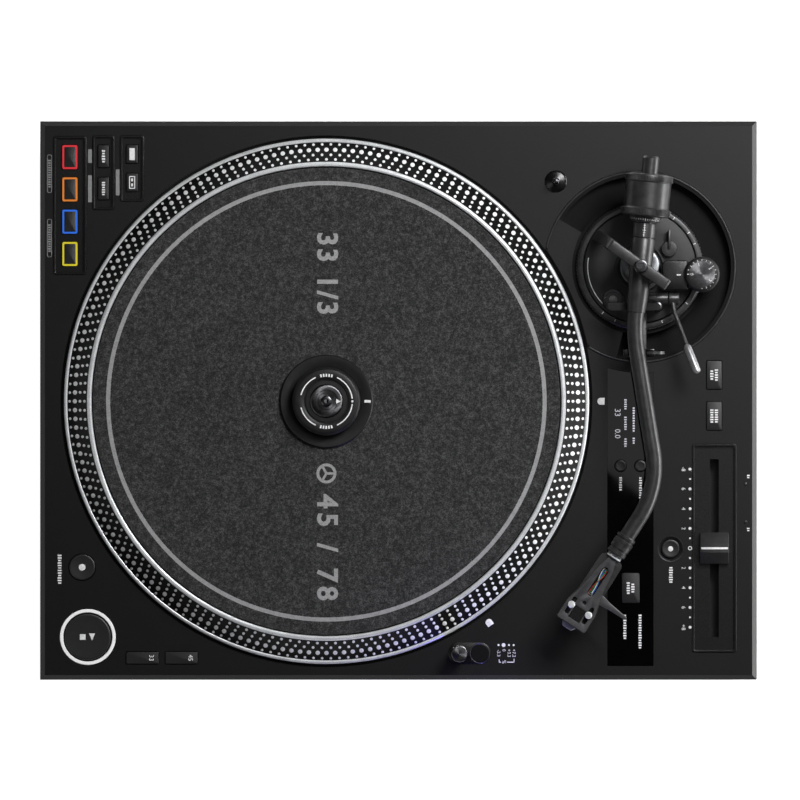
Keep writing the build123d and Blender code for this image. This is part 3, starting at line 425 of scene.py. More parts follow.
# The fader's cap, moulded in a greyer plastic.
CAP_ABS = coated("moulded_abs_cap", "#242425", "#2C2C2D", 0.34, 4.0, 0.25, 0.015)
# Moulded natural rubber of the feet: flat black with a bloom.
RUBBER = coated("moulded_rubber", "#0B0B0B", "#151514", 0.82, 5.0, 0.5, 0.05)
# Zinc-plated sheet steel: grey with a soft spangle.
ZINC_SHEET = coated("zinc_plated_steel", "#8B8E91", "#A2A5A8", 0.38, 7.0, 0.8, 0.01, metallic=1.0)
# Glass-fibre board in a near-black solder resist, chosen so that the fader's slot shows dark: painted shade down
# the slot.
BOARD_PAINTED_SHADE = coated("board_black_as_painted_shade", "#0A0F0C", "#0F1511", 0.45, 3.0, 0.8, 0.02)
# Enamelled copper of the drive coils.
COPPER = coated("enamelled_copper_wire", "#7A3B1C", "#A85A2C", 0.35, 1.6, 0.4, 0.05, metallic=1.0)
# Satin-polished and clear-lacquered aluminium of the platter's lips and the arm's bright trim.
POLISHED = coated("satin_polished_aluminium", "#D2D4D6", "#E2E4E6", 0.3, 8.0, 0.5, 0.004, metallic=0.35)
# Nickel-plated brass of screws and pins.
NICKEL = coated("nickel_plated_brass", "#B9B7B2", "#D2D0CB", 0.22, 3.0, 0.3, 0.004, metallic=1.0)
# Satin black anodising on turned aluminium: the arm's tube and housing.
BLACK_ANODISED = coated("black_anodised_aluminium", "#323233", "#3E3E3F", 0.34, 5.0, 0.3, 0.01, metallic=0.5)
# A deeper black anodising on the record clamp, from a longer bath.
CLAMP_BLACK = coated("deep_black_anodised_aluminium", "#19191A", "#202021", 0.42, 5.0, 0.3, 0.01, metallic=0.4)
# Bead-blasted black anodising of the arm's base disc, duller than its turned parts.
BASE_BLACK = coated("blasted_black_anodised_aluminium", "#141415", "#19191A", 0.55, 5.0, 0.3, 0.01)
# Grey sealed anodising of the headshell's top plate.
SHELL_GREY = coated("grey_anodised_aluminium", "#424244", "#4E4E50", 0.36, 4.0, 0.3, 0.01, metallic=0.4)
# Black enamel on the sloping strobe rim.
STROBE_BLACK = coated("black_enamelled_rim", "#020202", "#040404", 0.5, 5.0, 0.4, 0.01, Specular_IOR_Level=0.15)
# Screen-printed inks: white on the deck, light grey on the felt.
INK_WHITE = coated("screen_printed_white_ink", "#E2E2E2", "#F4F4F4", 0.6, 1.5, 0.3, 0.01)
INK_GREY = coated("screen_printed_grey_ink", "#8C8C8C", "#A4A4A4", 0.75, 1.2, 0.35, 0.03)
INK_DIM = coated("screen_printed_dim_ink", "#7E7E7F", "#8C8C8D", 0.6, 1.5, 0.3, 0.01)
# White enamel that fills the milled dots.
STROBE_DOT = coated("enamel_filled_dot", "#DEDEE0", "#F4F4F6", 0.35, 1.0, 0.3, 0.004)
# Satin nickel on the cue lever's handle.
SATIN_NICKEL = coated("satin_nickel_plate", "#8E8E90", "#A2A2A4", 0.34, 3.0, 0.3, 0.004, metallic=0.7)
# Dark plated brass of the cap, dial and lamp.
DARK_CHROME = coated("dark_plated_brass", "#4A4A4C", "#5E5E60", 0.24, 3.0, 0.25, 0.004, metallic=1.0)


def spun_metal(name, dark, light, roughness):
    """Metal faced on a lathe: fine rings round the piece's own middle turn highlights into wedges."""
    material, shader, place = finish_of(name, 1.0, roughness, Anisotropic=0.85)
    link(material, tones(material, grain(material, place, 2.0), [(0.35, dark), (0.65, light)]),
         shader.inputs["Base Color"])
    tangent = add(material, "ShaderNodeTangent", direction_type="RADIAL", axis="Z")
    link(material, tangent.outputs["Tangent"], shader.inputs["Tangent"])
    return material


SPUN_CAP = spun_metal("spun_dark_aluminium", "#5A5A5C", "#6C6C6E", 0.3)
SPUN_BRIGHT = spun_metal("spun_bright_aluminium", "#6E7072", "#7C7E80", 0.32)


def clear_gloss():
    """Cast acrylic, back-painted black: a deep gloss with faint dust-wipe haze."""
    material, shader, place = finish_of("back_painted_acrylic", 0.0, 0.05)
    haze = grain(material, place, 18.0, 4.0)
    link(material, tones(material, haze, [(0.3, "#010101"), (0.7, "#020202")]), shader.inputs["Base Color"])
    link(material, spread(material, haze, 0.02, 0.05), shader.inputs["Roughness"])
    return material


ACRYLIC = clear_gloss()


def lit(name, base, glow, strength):
    """Translucent plastic lit evenly from behind."""
    material, shader, _ = finish_of(name, 0.0, 0.4)
    shader.inputs["Base Color"].default_value = linear(base)
    shader.inputs["Emission Color"].default_value = linear(glow)
    shader.inputs["Emission Strength"].default_value = strength
    return material


# Light guides: a white ring round the start button, four coloured pad frames, the display's figures.
GLOW_WHITE = lit("light_guide_white", "#D8D8D8", "#F0F0F0", 0.35)
PAD_GLOWS = [lit(f"light_guide_{word}", base, glow, 0.5) for word, base, glow in (
    ("red", "#B21F28", "#C4262F"), ("orange", "#B8641E", "#C87324"),
    ("blue", "#1C55B8", "#2464CE"), ("yellow", "#B3A61C", "#C8BA22"))]
DISPLAY_GLOW = lit("display_figures", "#B4B4BC", "#C4C4CC", 0.5)


# Middle radius and width of the ring printed on the felt.
PRINT_RING_R, PRINT_RING_W = 137.7, 2.6


def platter_felt():
    """Needled wool felt: a dark mottle of matted fibres, printed with a thin grey ring."""
    material, shader, place = finish_of("needled_felt", 0.0, 0.95, Sheen_Weight=0.25, Sheen_Roughness=0.5)
    clumps = grain(material, place, 2.4, 6.0, 0.7)
    fibres = grain(material, place, 0.7, 3.0, 0.7)
    both = add(material, "ShaderNodeMath", [(0, clumps), (1, fibres)], operation="ADD")
    nap = add(material, "ShaderNodeMath", [(0, both.outputs[0])], operation="MULTIPLY", in_1=0.5).outputs[0]
    felt = tones(material, nap, [(0.41, "#0C0C0C"), (0.5, "#262626"), (0.59, "#4C4C4C")])
    print_tone = tones(material, nap, [(0.36, "#868687"), (0.64, "#A6A6A7")])
    # Distance from the spindle, with a slight fibre wander, picks out the printed ring.
    centred = add(material, "ShaderNodeVectorMath", [(0, place)], operation="SUBTRACT",
                  in_1=mm(*middle("slipmat")))
    far = add(material, "ShaderNodeVectorMath", [(0, centred.outputs[0])], operation="LENGTH")
    wander = add(material, "ShaderNodeMath", [(0, fibres), (2, far.outputs["Value"])],
                 operation="MULTIPLY_ADD", in_1=mm(0.5))
    off = add(material, "ShaderNodeMath", [(0, wander.outputs[0])], operation="SUBTRACT",
              in_1=mm(PRINT_RING_R + 0.25))
    apart = add(material, "ShaderNodeMath", [(0, off.outputs[0])], operation="ABSOLUTE")
    inside = add(material, "ShaderNodeMath", [(0, apart.outputs[0])], operation="LESS_THAN",
                 in_1=mm(PRINT_RING_W) / 2)
    mix = add(material, "ShaderNodeMix", [("Factor", inside.outputs[0]), (6, felt), (7, print_tone)],
              data_type="RGBA")
    link(material, mix.outputs[2], shader.inputs["Base Color"])
    relief(material, shader, nap, 0.5, 0.8)
    return material


FELT = platter_felt()


# Silicone insulation of the cartridge's leads, and the grey resin of the stylus holder.
LEAD_FINISHES = [coated(f"silicone_lead_{word}", dark, light, 0.5, 1.0, 0.2, 0.01) for word, dark, light in (
    ("white", "#D6D6D4", "#ECECEA"), ("red", "#A8141C", "#C62028"), ("blue", "#1B4FB4", "#2862CE"),
    ("green", "#12803A", "#1C9A4A"))]
HOLDER_GREY = coated("moulded_grey_resin", "#8E9092", "#A6A8AA", 0.45, 3.0, 0.3, 0.01)


# ---------------------------------------------------------------- driving places
DECK = box_mm("top_chassis")[1].z
SPINDLE = middle("slipmat")
PIVOT = Vector(joint("arm_tilt")["pos_m"]) / MM
ARM_HEADING, HEAD_HEADING, GIMBAL_HEADING = -95.5, -122.8, -36.0
REAR = level_axis(PIVOT.x, PIVOT.y, PIVOT.z, ARM_HEADING + 180)
NUT = Vector(joint("lock_nut_turn")["pos_m"]) / MM
ON_SPINDLE = standing(SPINDLE.x, SPINDLE.y)
ON_PIVOT = standing(PIVOT.x, PIVOT.y)


# ---------------------------------------------------------------- platter, mat and clamp
# The rim's slope from foot to top as (radius, height), the seat of the mat, and the well's edge in the deck.
CONE_FOOT, CONE_TOP = (163.0, 102.6), (151.0, 115.4)
MAT_SEAT = 115.2
WELL_EDGE_R = 168.9
# Height of the knob's top face, and the radius of the scale on it.
CLAMP_TOP, SCALE_R = 130.6, 16.4


def build_platter():
    """Black strobe rim with its milled dots, between a polished bead and a polished lip."""
    rim = turn("platter_rim", [
        (157, 94.5), (165, 94.5), (166, 95.5), (166, 100.6), CONE_FOOT, (157, 109), CONE_TOP,
        (148, MAT_SEAT), (60, MAT_SEAT), (20, MAT_SEAT),
    ], sides=288, matrix=ON_SPINDLE)
    coat(rim, STROBE_BLACK, "platter_unit", ["platter"])
    bead = turn("platter_bead", [
        (163.2, 101.2), (163.4, 101.9), (163.9, 102.25), (164.6, 102.4), (165.3, 102.2),
        (165.8, 101.7), (166.0, 100.9), (165.9, 100.0), (163.2, 100.0), (163.2, 101.2),
    ], sides=288, closed=True, matrix=ON_SPINDLE)
    coat(bead, POLISHED, "platter_unit")
    lip = turn("platter_lip", [
        (151.2, 115.0), (150.9, 116.2), (150.5, 116.8), (150.0, 117.0), (149.0, 117.0),
        (148.5, 116.8), (148.2, 116.2), (148.1, 115.0), (151.2, 115.0),
    ], sides=288, closed=True, matrix=ON_SPINDLE)
    coat(lip, POLISHED, "platter_unit")


# Rows of strobe dots: radius, count and dot diameter.
STROBE_ROWS = ((152.7, 168, 1.85), (155.6, 174, 1.85), (158.9, 180, 2.9), (162.3, 186, 1.75))


def build_strobe_dots():
    """Four rows of domed dots on the rim's slope; each row has the count that its speed needs."""
    slope = atan2(CONE_TOP[1] - CONE_FOOT[1], CONE_FOOT[0] - CONE_TOP[0])
    rows = []
    for radius, count, width in STROBE_ROWS:
        start_clean()
        bpy.ops.mesh.primitive_circle_add(vertices=14, radius=mm(width) / 2, fill_type="TRIFAN")
        dot = bpy.context.object
        dot.name = dot.data.name = f"strobe_row_{count}"
        dot.scale.x = 1 / cos(slope) * 0.96
        settle(dot)
        bpy.ops.object.mode_set(mode="EDIT")
        bpy.ops.mesh.select_all(action="SELECT")
        bpy.ops.mesh.extrude_region_move(TRANSFORM_OT_translate={"value": (0, 0, mm(0.1))})
        bpy.ops.transform.resize(value=(0.86, 0.86, 1))
        bpy.ops.mesh.select_all(action="SELECT")
        bpy.ops.mesh.normals_make_consistent(inside=False)
        bpy.ops.object.mode_set(mode="OBJECT")
        height = CONE_FOOT[1] + (CONE_FOOT[0] - radius) * tan(slope) - 0.02
        lean = Matrix.Rotation(slope, 4, "Y")
        places = [place @ lean for place in round_places(count, radius, height, ON_SPINDLE)]
        rows.append(smooth(copies(dot, places), 60))
    dots = join("strobe_dots", rows)
    coat(dots, STROBE_DOT, "platter_unit")


def build_slipmat():
    """Felt mat with a softly rounded edge and a hole for the pin, and its two printed figures."""
    low, high = box_mm("slipmat")
    radius = (high.x - low.x) / 2
    felt = turn("slipmat_felt", [
        (4.0, low.z), (80, low.z), (radius - 0.5, low.z), (radius, low.z + 0.5), (radius, high.z - 0.4),
        (radius - 0.5, high.z), (120, high.z), (60, high.z), (4.0, high.z), (4.0, low.z),
    ], sides=288, closed=True, matrix=ON_SPINDLE)
    coat(felt, FELT, "mat", ["slipmat"])
    for name, text, side, spacing in (("mat_figures_back", "33 1/3", 80.6, 1.15),
                                      ("mat_figures_front", "45 / 78", -92.2, 1.3)):
        spot = (SPINDLE.x, SPINDLE.y + side, high.z + 0.02)
        marks = figure(name, text, spot, 13, heading=-90, spacing=spacing, bold=0.035)
        coat(marks, INK_GREY, "mat")
    # Plain sign of a single's centre adaptor: a ring with three arms.
    adaptor = [arc_band("adaptor_ring", 5.4, 1.8, high.z, 0, 359.9, Matrix.Identity(4))]
    for k in range(3):
        arm = brick("adaptor_arm", (2.6, 0, high.z + 0.02), (5.0, 1.5, 0.04), bevel=0)
        adaptor.append(settle(arm, Matrix.Rotation(radians(120 * k), 4, "Z")))
    sign = settle(join("mat_adaptor_sign", adaptor), standing(SPINDLE.x, SPINDLE.y - 45.5))
    coat(sign, INK_GREY, "mat")


def build_clamp():
    """Record clamp: base disc with its pointer, knob with a scale, spun cap with a triangle."""
    foot = box_mm("clamp_base")[0].z
    base = turn("clamp_foot", [
        (28.8, foot), (29.4, foot + 0.5), (29.4, 118.3), (28.7, 119.0), (22.6, 119.0), (22.2, 118.8),
        (11, 118.8),
    ], sides=160, matrix=ON_SPINDLE)
    coat(base, CLAMP_BLACK, "platter_unit", ["clamp_base"])
    cap = turn("clamp_cap", [
        (10.2, 118.9), (10.3, 129.9), (10.0, 130.4), (9.4, 130.6), (7.2, 130.6), (6.9, 130.3), (5.4, 130.3),
        (5.1, 130.6), (3.9, 130.6),
    ], sides=128, matrix=ON_SPINDLE)
    coat(cap, SPUN_CAP, "platter_unit")
    pin = turn("centre_pin", [
        (3.58, 130.0), (3.58, 133.2), (3.4, 133.7), (2.9, 134.0), (1.6, 134.0),
    ], sides=64, matrix=ON_SPINDLE)
    coat(pin, DARK_CHROME, "platter_unit")
    # Broken rows of short bars stand in for the scale's two words.
    words = []
    for row_start in (76, 256):
        for k in range(5):
            words.append(arc_band("scale_word", SCALE_R, 1.9, CLAMP_TOP, row_start + 6 * k, 3.6, ON_SPINDLE,
                                  steps=3))
    knob = turn("clamp_grip", [
        (10.6, 119.3), (20.8, 119.3), (21.5, 120.0), (21.5, 128.6), (21.2, 129.3), (20.0, 130.4), (19.5, 130.6),
        (14.5, 130.6), (14.1, 130.4), (13.8, 129.6), (13.3, 129.6), (13.0, 130.2), (10.6, 130.3),
        (10.6, 119.3),
    ], sides=160, closed=True, matrix=ON_SPINDLE)
    coat(knob, CLAMP_BLACK, "knob", ["clamp_knob"])
    ribs = knurls("clamp_grip_ribs", 72, 21.25, 124.3, (0.7, 0.8, 7.4), ON_SPINDLE, 0.25)
    coat(ribs, CLAMP_BLACK, "knob")
    marks = [arc_band("scale_arc", SCALE_R, 0.75, CLAMP_TOP, start, sweep, ON_SPINDLE)
             for start, sweep in ((6, 60), (114, 52), (194, 52), (294, 60))]
    marks.append(turn("scale_dot", [(0.75, CLAMP_TOP), (0.7, CLAMP_TOP + 0.05)], sides=20,
                      matrix=standing(SPINDLE.x + SCALE_R, SPINDLE.y)))
    coat(join("clamp_scale", marks + words), INK_WHITE, "knob")
    pointer = brick("clamp_pointer", (SPINDLE.x + 26, SPINDLE.y, 119.02), (4.0, 1.7, 0.06), bevel=0)
    coat(pointer, INK_WHITE, "platter_unit")
    arrow = slab("clamp_arrow", [(6.2, 1.5), (6.2, -1.5), (9.2, 0)], CLAMP_TOP, CLAMP_TOP + 0.06, bevel=0,
                 matrix=ON_SPINDLE)
    coat(arrow, INK_WHITE, "platter_unit")


# ---------------------------------------------------------------- keys, trays and the deck's fittings
def key_outline(width, depth, corner, steps=4):
    """Corners of a rounded rectangle about the origin."""
    points = []
    for cx, cy, begin in ((1, 1, 0), (-1, 1, 90), (-1, -1, 180), (1, -1, 270)):
        for i in range(steps + 1):
            angle = radians(begin + 90 * i / steps)
            x = cx * (width / 2 - corner) + corner * cos(angle)
            y = cy * (depth / 2 - corner) + corner * sin(angle)
            points.append((x, y))
    return points


# How much wider a CAD key's flange is than its cap, all across.
KEY_FLANGE = 2.4


def oblong_key(node):
    """A moulded cap with a soft edge for a CAD key; gives its middle and the height of its top."""
    low, high = box_mm(node)
    x, y = middle(node).xy
    outline = key_outline(high.x - low.x - KEY_FLANGE, high.y - low.y - KEY_FLANGE, 0.8)
    cap = slab(node.replace("button", "cap"), outline, high.z - 3.5, high.z, bevel=0.35, steps=3,
               matrix=standing(x, y))
    coat(cap, KEY_ABS, node, [node])
    return x, y, high.z


def frame_band(name, outer, band, low, high, matrix, corner):
    """A raised rectangular frame: a rounded face, inset by the band's width, its middle taken out."""
    piece = flat_face(name, key_outline(*outer, corner), low)
    bpy.ops.mesh.inset(thickness=mm(band))
    bpy.ops.mesh.delete(type="ONLY_FACE")
    draw_up(high - low)
    return smooth(settle(piece, matrix))


def build_pads():
    """Four cue pads: a dark middle in a coloured light guide."""
    for i, glow in enumerate(PAD_GLOWS):
        node = f"pad_button_{i + 1}"
        low, high = box_mm(node)
        x, y = middle(node).xy
        size = (high.x - low.x - KEY_FLANGE, high.y - low.y - KEY_FLANGE)
        cap = slab(f"pad_cap_{i + 1}", key_outline(size[0] - 2.2, size[1] - 2.2, 0.6), high.z - 4, high.z,
                   bevel=0.3, matrix=standing(x, y))
        coat(cap, KEY_ABS, node, [node])
        edge = frame_band(f"pad_light_{i + 1}", size, 1.15, high.z - 4, high.z - 0.05, standing(x, y), 1.0)
        coat(edge, glow, node)


def build_keys():
    """Caps of the other keys, with plain figures or signs in place of their words."""
    keys = {}
    for node in ("speed_33_button", "speed_45_button", "mode_button_1", "mode_button_2", "track_button_1",
                 "track_button_2", "needle_button", "step_pitch_button", "tempo_range_button"):
        keys[node] = oblong_key(node)
    for node, text in (("speed_33_button", "33"), ("speed_45_button", "45")):
        x, y, top = keys[node]
        marks = figure(f"{node}_figures", text, (x + 5.6, y, top + 0.02), 3.0, heading=-90)
        coat(marks, INK_WHITE, node)
    for node, lines in (("mode_button_1", (8.4,)), ("mode_button_2", (9.0,)), ("step_pitch_button", (6.6, 7.8)),
                        ("tempo_range_button", (9.0, 8.8)), ("needle_button", (8.0, 6.2))):
        x, y, top = keys[node]
        spots = [x + (i - (len(lines) - 1) / 2) * 2.9 for i in range(len(lines))]
        bars = [bar for spot, length in zip(spots, lines)
                for bar in word_bars(spot, y, top + 0.02, 1.4, length)]
        coat(join(f"{node}_marks", bars), INK_WHITE, node)
    x, y, top = keys["track_button_1"]
    plate = brick("track_sign_1", (x, y, top + 0.02), (3.4, 7.6, 0.05), bevel=0)
    coat(plate, INK_WHITE, "track_button_1")
    x, y, top = keys["track_button_2"]
    edge = frame_band("track_sign_2", (3.8, 8.0), 0.55, top, top + 0.05, standing(x, y), 0.5)
    halves = [brick("bar", (x, y + s, top + 0.02), (1.2, 1.8, 0.05), bevel=0) for s in (-1.6, 1.6)]
    coat(join("track_sign_2", [edge, *halves]), INK_WHITE, "track_button_2")


def build_round_buttons():
    """Start button in its light ring, motor-off and reset buttons, and the display's two keys."""
    for node, name, dish in (("start_button", "start_cap", 0.25), ("motor_off_button", "motor_off_cap", 0.35),
                             ("reset_button", "reset_cap", 0.3),
                             ("display_button_left", "display_cap_left", 0.1),
                             ("display_button_right", "display_cap_right", 0.1)):
        low, high = box_mm(node)
        x, y = middle(node).xy
        radius = (high.x - low.x - KEY_FLANGE) / 2
        top = high.z
        cap = turn(name, [
            (radius, top - 4), (radius, top - 0.6), (radius - 0.18, top - 0.18), (radius - 0.6, top),
            (radius - 1.2, top - 0.03), (radius * 0.6, top - dish * 0.7), (radius * 0.25, top - dish),
        ], sides=96, matrix=standing(x, y))
        coat(cap, KEY_ABS, node, [node])
    top = box_mm("light_ring")[1].z
    x, y = middle("light_ring").xy
    glow = turn("start_light", [
        (15.5, top - 3), (17.6, top - 3), (17.6, top - 0.3), (17.3, top), (15.9, top), (15.6, top - 0.3),
        (15.5, top - 3),
    ], sides=128, closed=True, matrix=standing(x, y))
    coat(glow, GLOW_WHITE, "cabinet", ["light_ring"])
    top = box_mm("start_button")[1].z - 0.2
    arrow = slab("sign", [(-2.3, 4.6), (-2.3, 0.8), (2.3, 2.7)], top, top + 0.06, bevel=0,
                 matrix=standing(x, y, 0, -90))
    square = brick("sign", (x - 3.2, y, top + 0.03), (3.6, 3.6, 0.06), bevel=0)
    coat(join("start_signs", [arrow, square]), INK_WHITE, "start_button")
    for node, name, dish, radius in (("motor_off_button", "motor_off_dot", 0.33, 2.1),
                                     ("reset_button", "reset_dot", 0.28, 1.65)):
        top = box_mm(node)[1].z - dish
        x, y = middle(node).xy
        dot = turn(name, [(radius, top - 0.05), (radius, top + 0.03), (radius * 0.96, top + 0.06)], sides=32,
                   matrix=standing(x, y))
        coat(dot, INK_WHITE, node)


# Markers' distance from the spindle, and the place of the spare headshell's pin.
MARKER_R = 173.4
SPARE_SHELL_AT = (99.4, 138.4)


def build_deck_fittings():
    """Lamp plate, reset cup, spare headshell pin, white markers and the fader's two lamps."""
    lamp, press = middle("lamp"), middle("lamp_button")
    end_radius, steps = 6.85, 24
    corners = []
    for centre_x, begin in ((press.x, -90), (lamp.x, 90)):
        for i in range(steps + 1):
            angle = radians(begin + 180 * i / steps)
            corners.append((centre_x + end_radius * cos(angle), lamp.y + end_radius * sin(angle)))
    plate = slab("lamp_plate", corners, DECK - 0.6, DECK + 0.45, bevel=0.25)
    coat(plate, ABS, "cabinet", ["deck_fittings"])
    lamp_ring = turn("lamp_plate_well", [
        (5.9, DECK + 0.45), (6.2, DECK + 0.62), (6.5, DECK + 0.45), (5.9, DECK + 0.45),
    ], sides=64, closed=True, matrix=standing(press.x, press.y))
    coat(lamp_ring, BLACK_ANODISED, "cabinet")
    floor = turn("lamp_plate_floor", [
        (5.85, DECK + 0.42), (5.75, DECK + 0.47), (5.0, DECK + 0.47),
    ], sides=64, matrix=standing(press.x, press.y))
    coat(floor, STROBE_BLACK, "cabinet")
    reset = middle("reset_button")
    cup = turn("reset_cup", [
        (6.2, DECK - 1.6), (7.6, DECK - 0.3), (7.7, DECK + 0.1), (8.1, DECK + 0.18), (8.3, DECK + 0.02),
        (8.3, DECK - 1.6), (6.2, DECK - 1.6),
    ], sides=96, closed=True, matrix=standing(reset.x, reset.y))
    coat(cup, BLACK_ANODISED, "cabinet", ["deck_fittings"])
    stand = standing(*SPARE_SHELL_AT)
    foot = turn("spare_shell_seat", [
        (7.0, DECK), (7.0, DECK + 0.5), (6.6, DECK + 1.0), (5.8, DECK + 1.4), (3.0, DECK + 1.9),
        (2.4, DECK + 2.2),
    ], sides=72, matrix=stand)
    coat(foot, ABS, "cabinet", ["deck_fittings"])
    pin = turn("spare_shell_pin", [
        (2.0, DECK + 2.0), (1.9, DECK + 9.6), (2.2, DECK + 10.4), (2.4, DECK + 11.2), (2.1, DECK + 12.0),
        (1.4, DECK + 12.6), (0.6, DECK + 12.8),
    ], sides=40, matrix=stand)
    coat(pin, DARK_CHROME, "cabinet")
    for i, heading in enumerate((0.0, -53.7)):
        x, y = along(SPINDLE.x, SPINDLE.y, heading, MARKER_R)
        half = [(2.3, 2.2), (-0.2, 2.2)]
        half += [(-0.2 - 2.1 * sin(radians(a)), 2.2 * cos(radians(a))) for a in range(15, 180, 15)]
        half += [(-0.2, -2.2), (2.3, -2.2)]
        mark = slab(f"platter_marker_{i + 1}", half, DECK - 0.3, DECK + 0.16, bevel=0.1,
                    matrix=standing(x, y, 0, heading))
        coat(mark, INK_WHITE, "cabinet", ["deck_fittings"])
    for i, y in enumerate((-52.9, -76.8)):
        lens = turn(f"fader_lamp_{i + 1}", [
            (1.1, DECK - 0.5), (1.1, DECK + 0.05), (0.8, DECK + 0.2), (0.3, DECK + 0.26),
        ], sides=24, matrix=standing(219.3, y))
        coat(lens, KEY_ABS, "cabinet", ["deck_fittings"])


# The recessed trays: middle x and y, width and depth of the recess.
TRAYS = {
    "pad": (-207.6, 123.2, 17.8, 84.4),
    "mode": (-186.4, 144.0, 10.7, 44.0),
    "track": (-168.3, 146.6, 12.0, 38.8),
    "fader": (199.6, -93.3, 25.0, 128.6),
}


def build_tray_rims():
    """Softened rims of the four recessed trays, and the bead round the arm's bowl."""
    for word, (x, y, width, depth) in TRAYS.items():
        rim = frame_band(f"{word}_tray_rim", (width + 3.2, depth + 3.2), 1.5, DECK + 0.1, DECK + 0.75,
                         standing(x, y), 1.9)
        soften(rim, 0.4, 3)
        coat(smooth(rim), ABS, "cabinet")
    bead = arc_band("surround_bead", 60.0, 1.2, DECK, -122.5, 291, ON_PIVOT, thick=1.0, steps=144)
    soften(bead, 0.4, 3, 50)
    coat(smooth(bead), BLACK_ANODISED, "cabinet")


def build_surround_land():
    """Flat land between the bowl's ends, painted like the deck, trimmed to the platter's well."""
    outer_radius, inner_radius = 59.2, 42.8
    outer, inner = [], []
    apart = Vector((PIVOT.x - SPINDLE.x, PIVOT.y - SPINDLE.y))
    for step in range(54):
        angle = radians(149.5 + 2 * step)
        heading = Vector((cos(angle), sin(angle)))
        near = heading.dot(apart)
        reach = near * near - apart.length_squared + WELL_EDGE_R ** 2
        radius = min(outer_radius, -near - reach ** 0.5) if reach > 0 else outer_radius
        outer.append((radius * heading.x, radius * heading.y))
        inner.append((inner_radius * heading.x, inner_radius * heading.y))
    land = slab("surround_land", outer + inner[::-1], 100.36, 100.46, bevel=0, matrix=ON_PIVOT)
    coat(land, POWDER_COAT, "cabinet")


def build_needle_lamp():
    """Pop-up lamp: plain barrel, spun cap and a light window towards the record; and its button."""
    top = box_mm("lamp")[1].z
    x, y = middle("lamp").xy
    barrel = turn("lamp_barrel", [
        (5.2, DECK - 2), (5.2, top - 8), (5.3, top - 7.6), (5.3, top - 0.8), (5.15, top - 0.35),
        (4.9, top - 0.2),
    ], sides=96, matrix=standing(x, y))
    coat(barrel, DARK_CHROME, "needle_lamp", ["lamp"])
    cap = turn("lamp_cap", [(4.9, top - 0.3), (4.8, top - 0.1), (4.5, top)], sides=96, matrix=standing(x, y))
    coat(cap, SPUN_CAP, "needle_lamp")
    heading = degrees(atan2(SPINDLE.y - y, SPINDLE.x - x))
    lens_x, lens_y = along(x, y, heading, 4.4)
    lens = brick("lamp_lens", (lens_x, lens_y, top - 4.6), (1.6, 4.2, 3.4), 0.5, heading)
    coat(lens, GLOW_WHITE, "needle_lamp")
    x, y = middle("lamp_button").xy
    button = turn("lamp_button_cap", [
        (4.8, 97), (4.8, 98.7), (4.6, 98.9), (2.6, 98.95), (2.2, 99.3), (1.9, 99.9), (1.4, 100.3), (0.6, 100.4),
    ], sides=64, matrix=standing(x, y))
    coat(button, DARK_CHROME, "lamp_button", ["lamp_button"])


def build_fader():
    """Fader cap with sloping ends and a line on its raised middle, and the stem in the slot."""
    x, y = middle("fader_cap").xy
    profile = [
        (-10, 98.8), (10, 98.8), (10, 102.6), (9.4, 103.2), (3.4, 106.4), (2.6, 106.95), (-2.6, 106.95),
        (-3.4, 106.4), (-9.4, 103.2), (-10, 102.6),
    ]
    upright = standing(x, y, 0, 90) @ Matrix.Rotation(radians(90), 4, "X")
    cap = slab("fader_knob", profile, -9, 9, bevel=0.4, matrix=upright, steps=3)
    coat(cap, CAP_ABS, "fader", ["fader_cap"])
    line = brick("fader_line", (x, y, 106.94), (17.0, 1.3, 0.1), bevel=0.03)
    coat(line, INK_WHITE, "fader")
    stem = brick("fader_stem", (x, y, 94), (4, 10, 12), bevel=0.3)
    coat(stem, ZINC_SHEET, "fader")


# ---------------------------------------------------------------- printing on the deck
def word_bars(x, y, z, width, depth, pitch=1.55):
    """A row of short bars along Y that stands in for a printed word."""
    count = max(2, round(depth / pitch))
    bars = []
    for i in range(count):
        at = y + (i - (count - 1) / 2) * depth / count
        reach = width * (1.5 if i % 3 else 1.2)
        bars.append(brick("bar", (x, at, z), (reach, depth / count * 0.6, 0.05), bevel=0))
    return bars


# Where the fader's scale stands, and the distance between its marks.
FADER_SCALE_X, FADER_SCALE_STEP = 184.2, 6.245


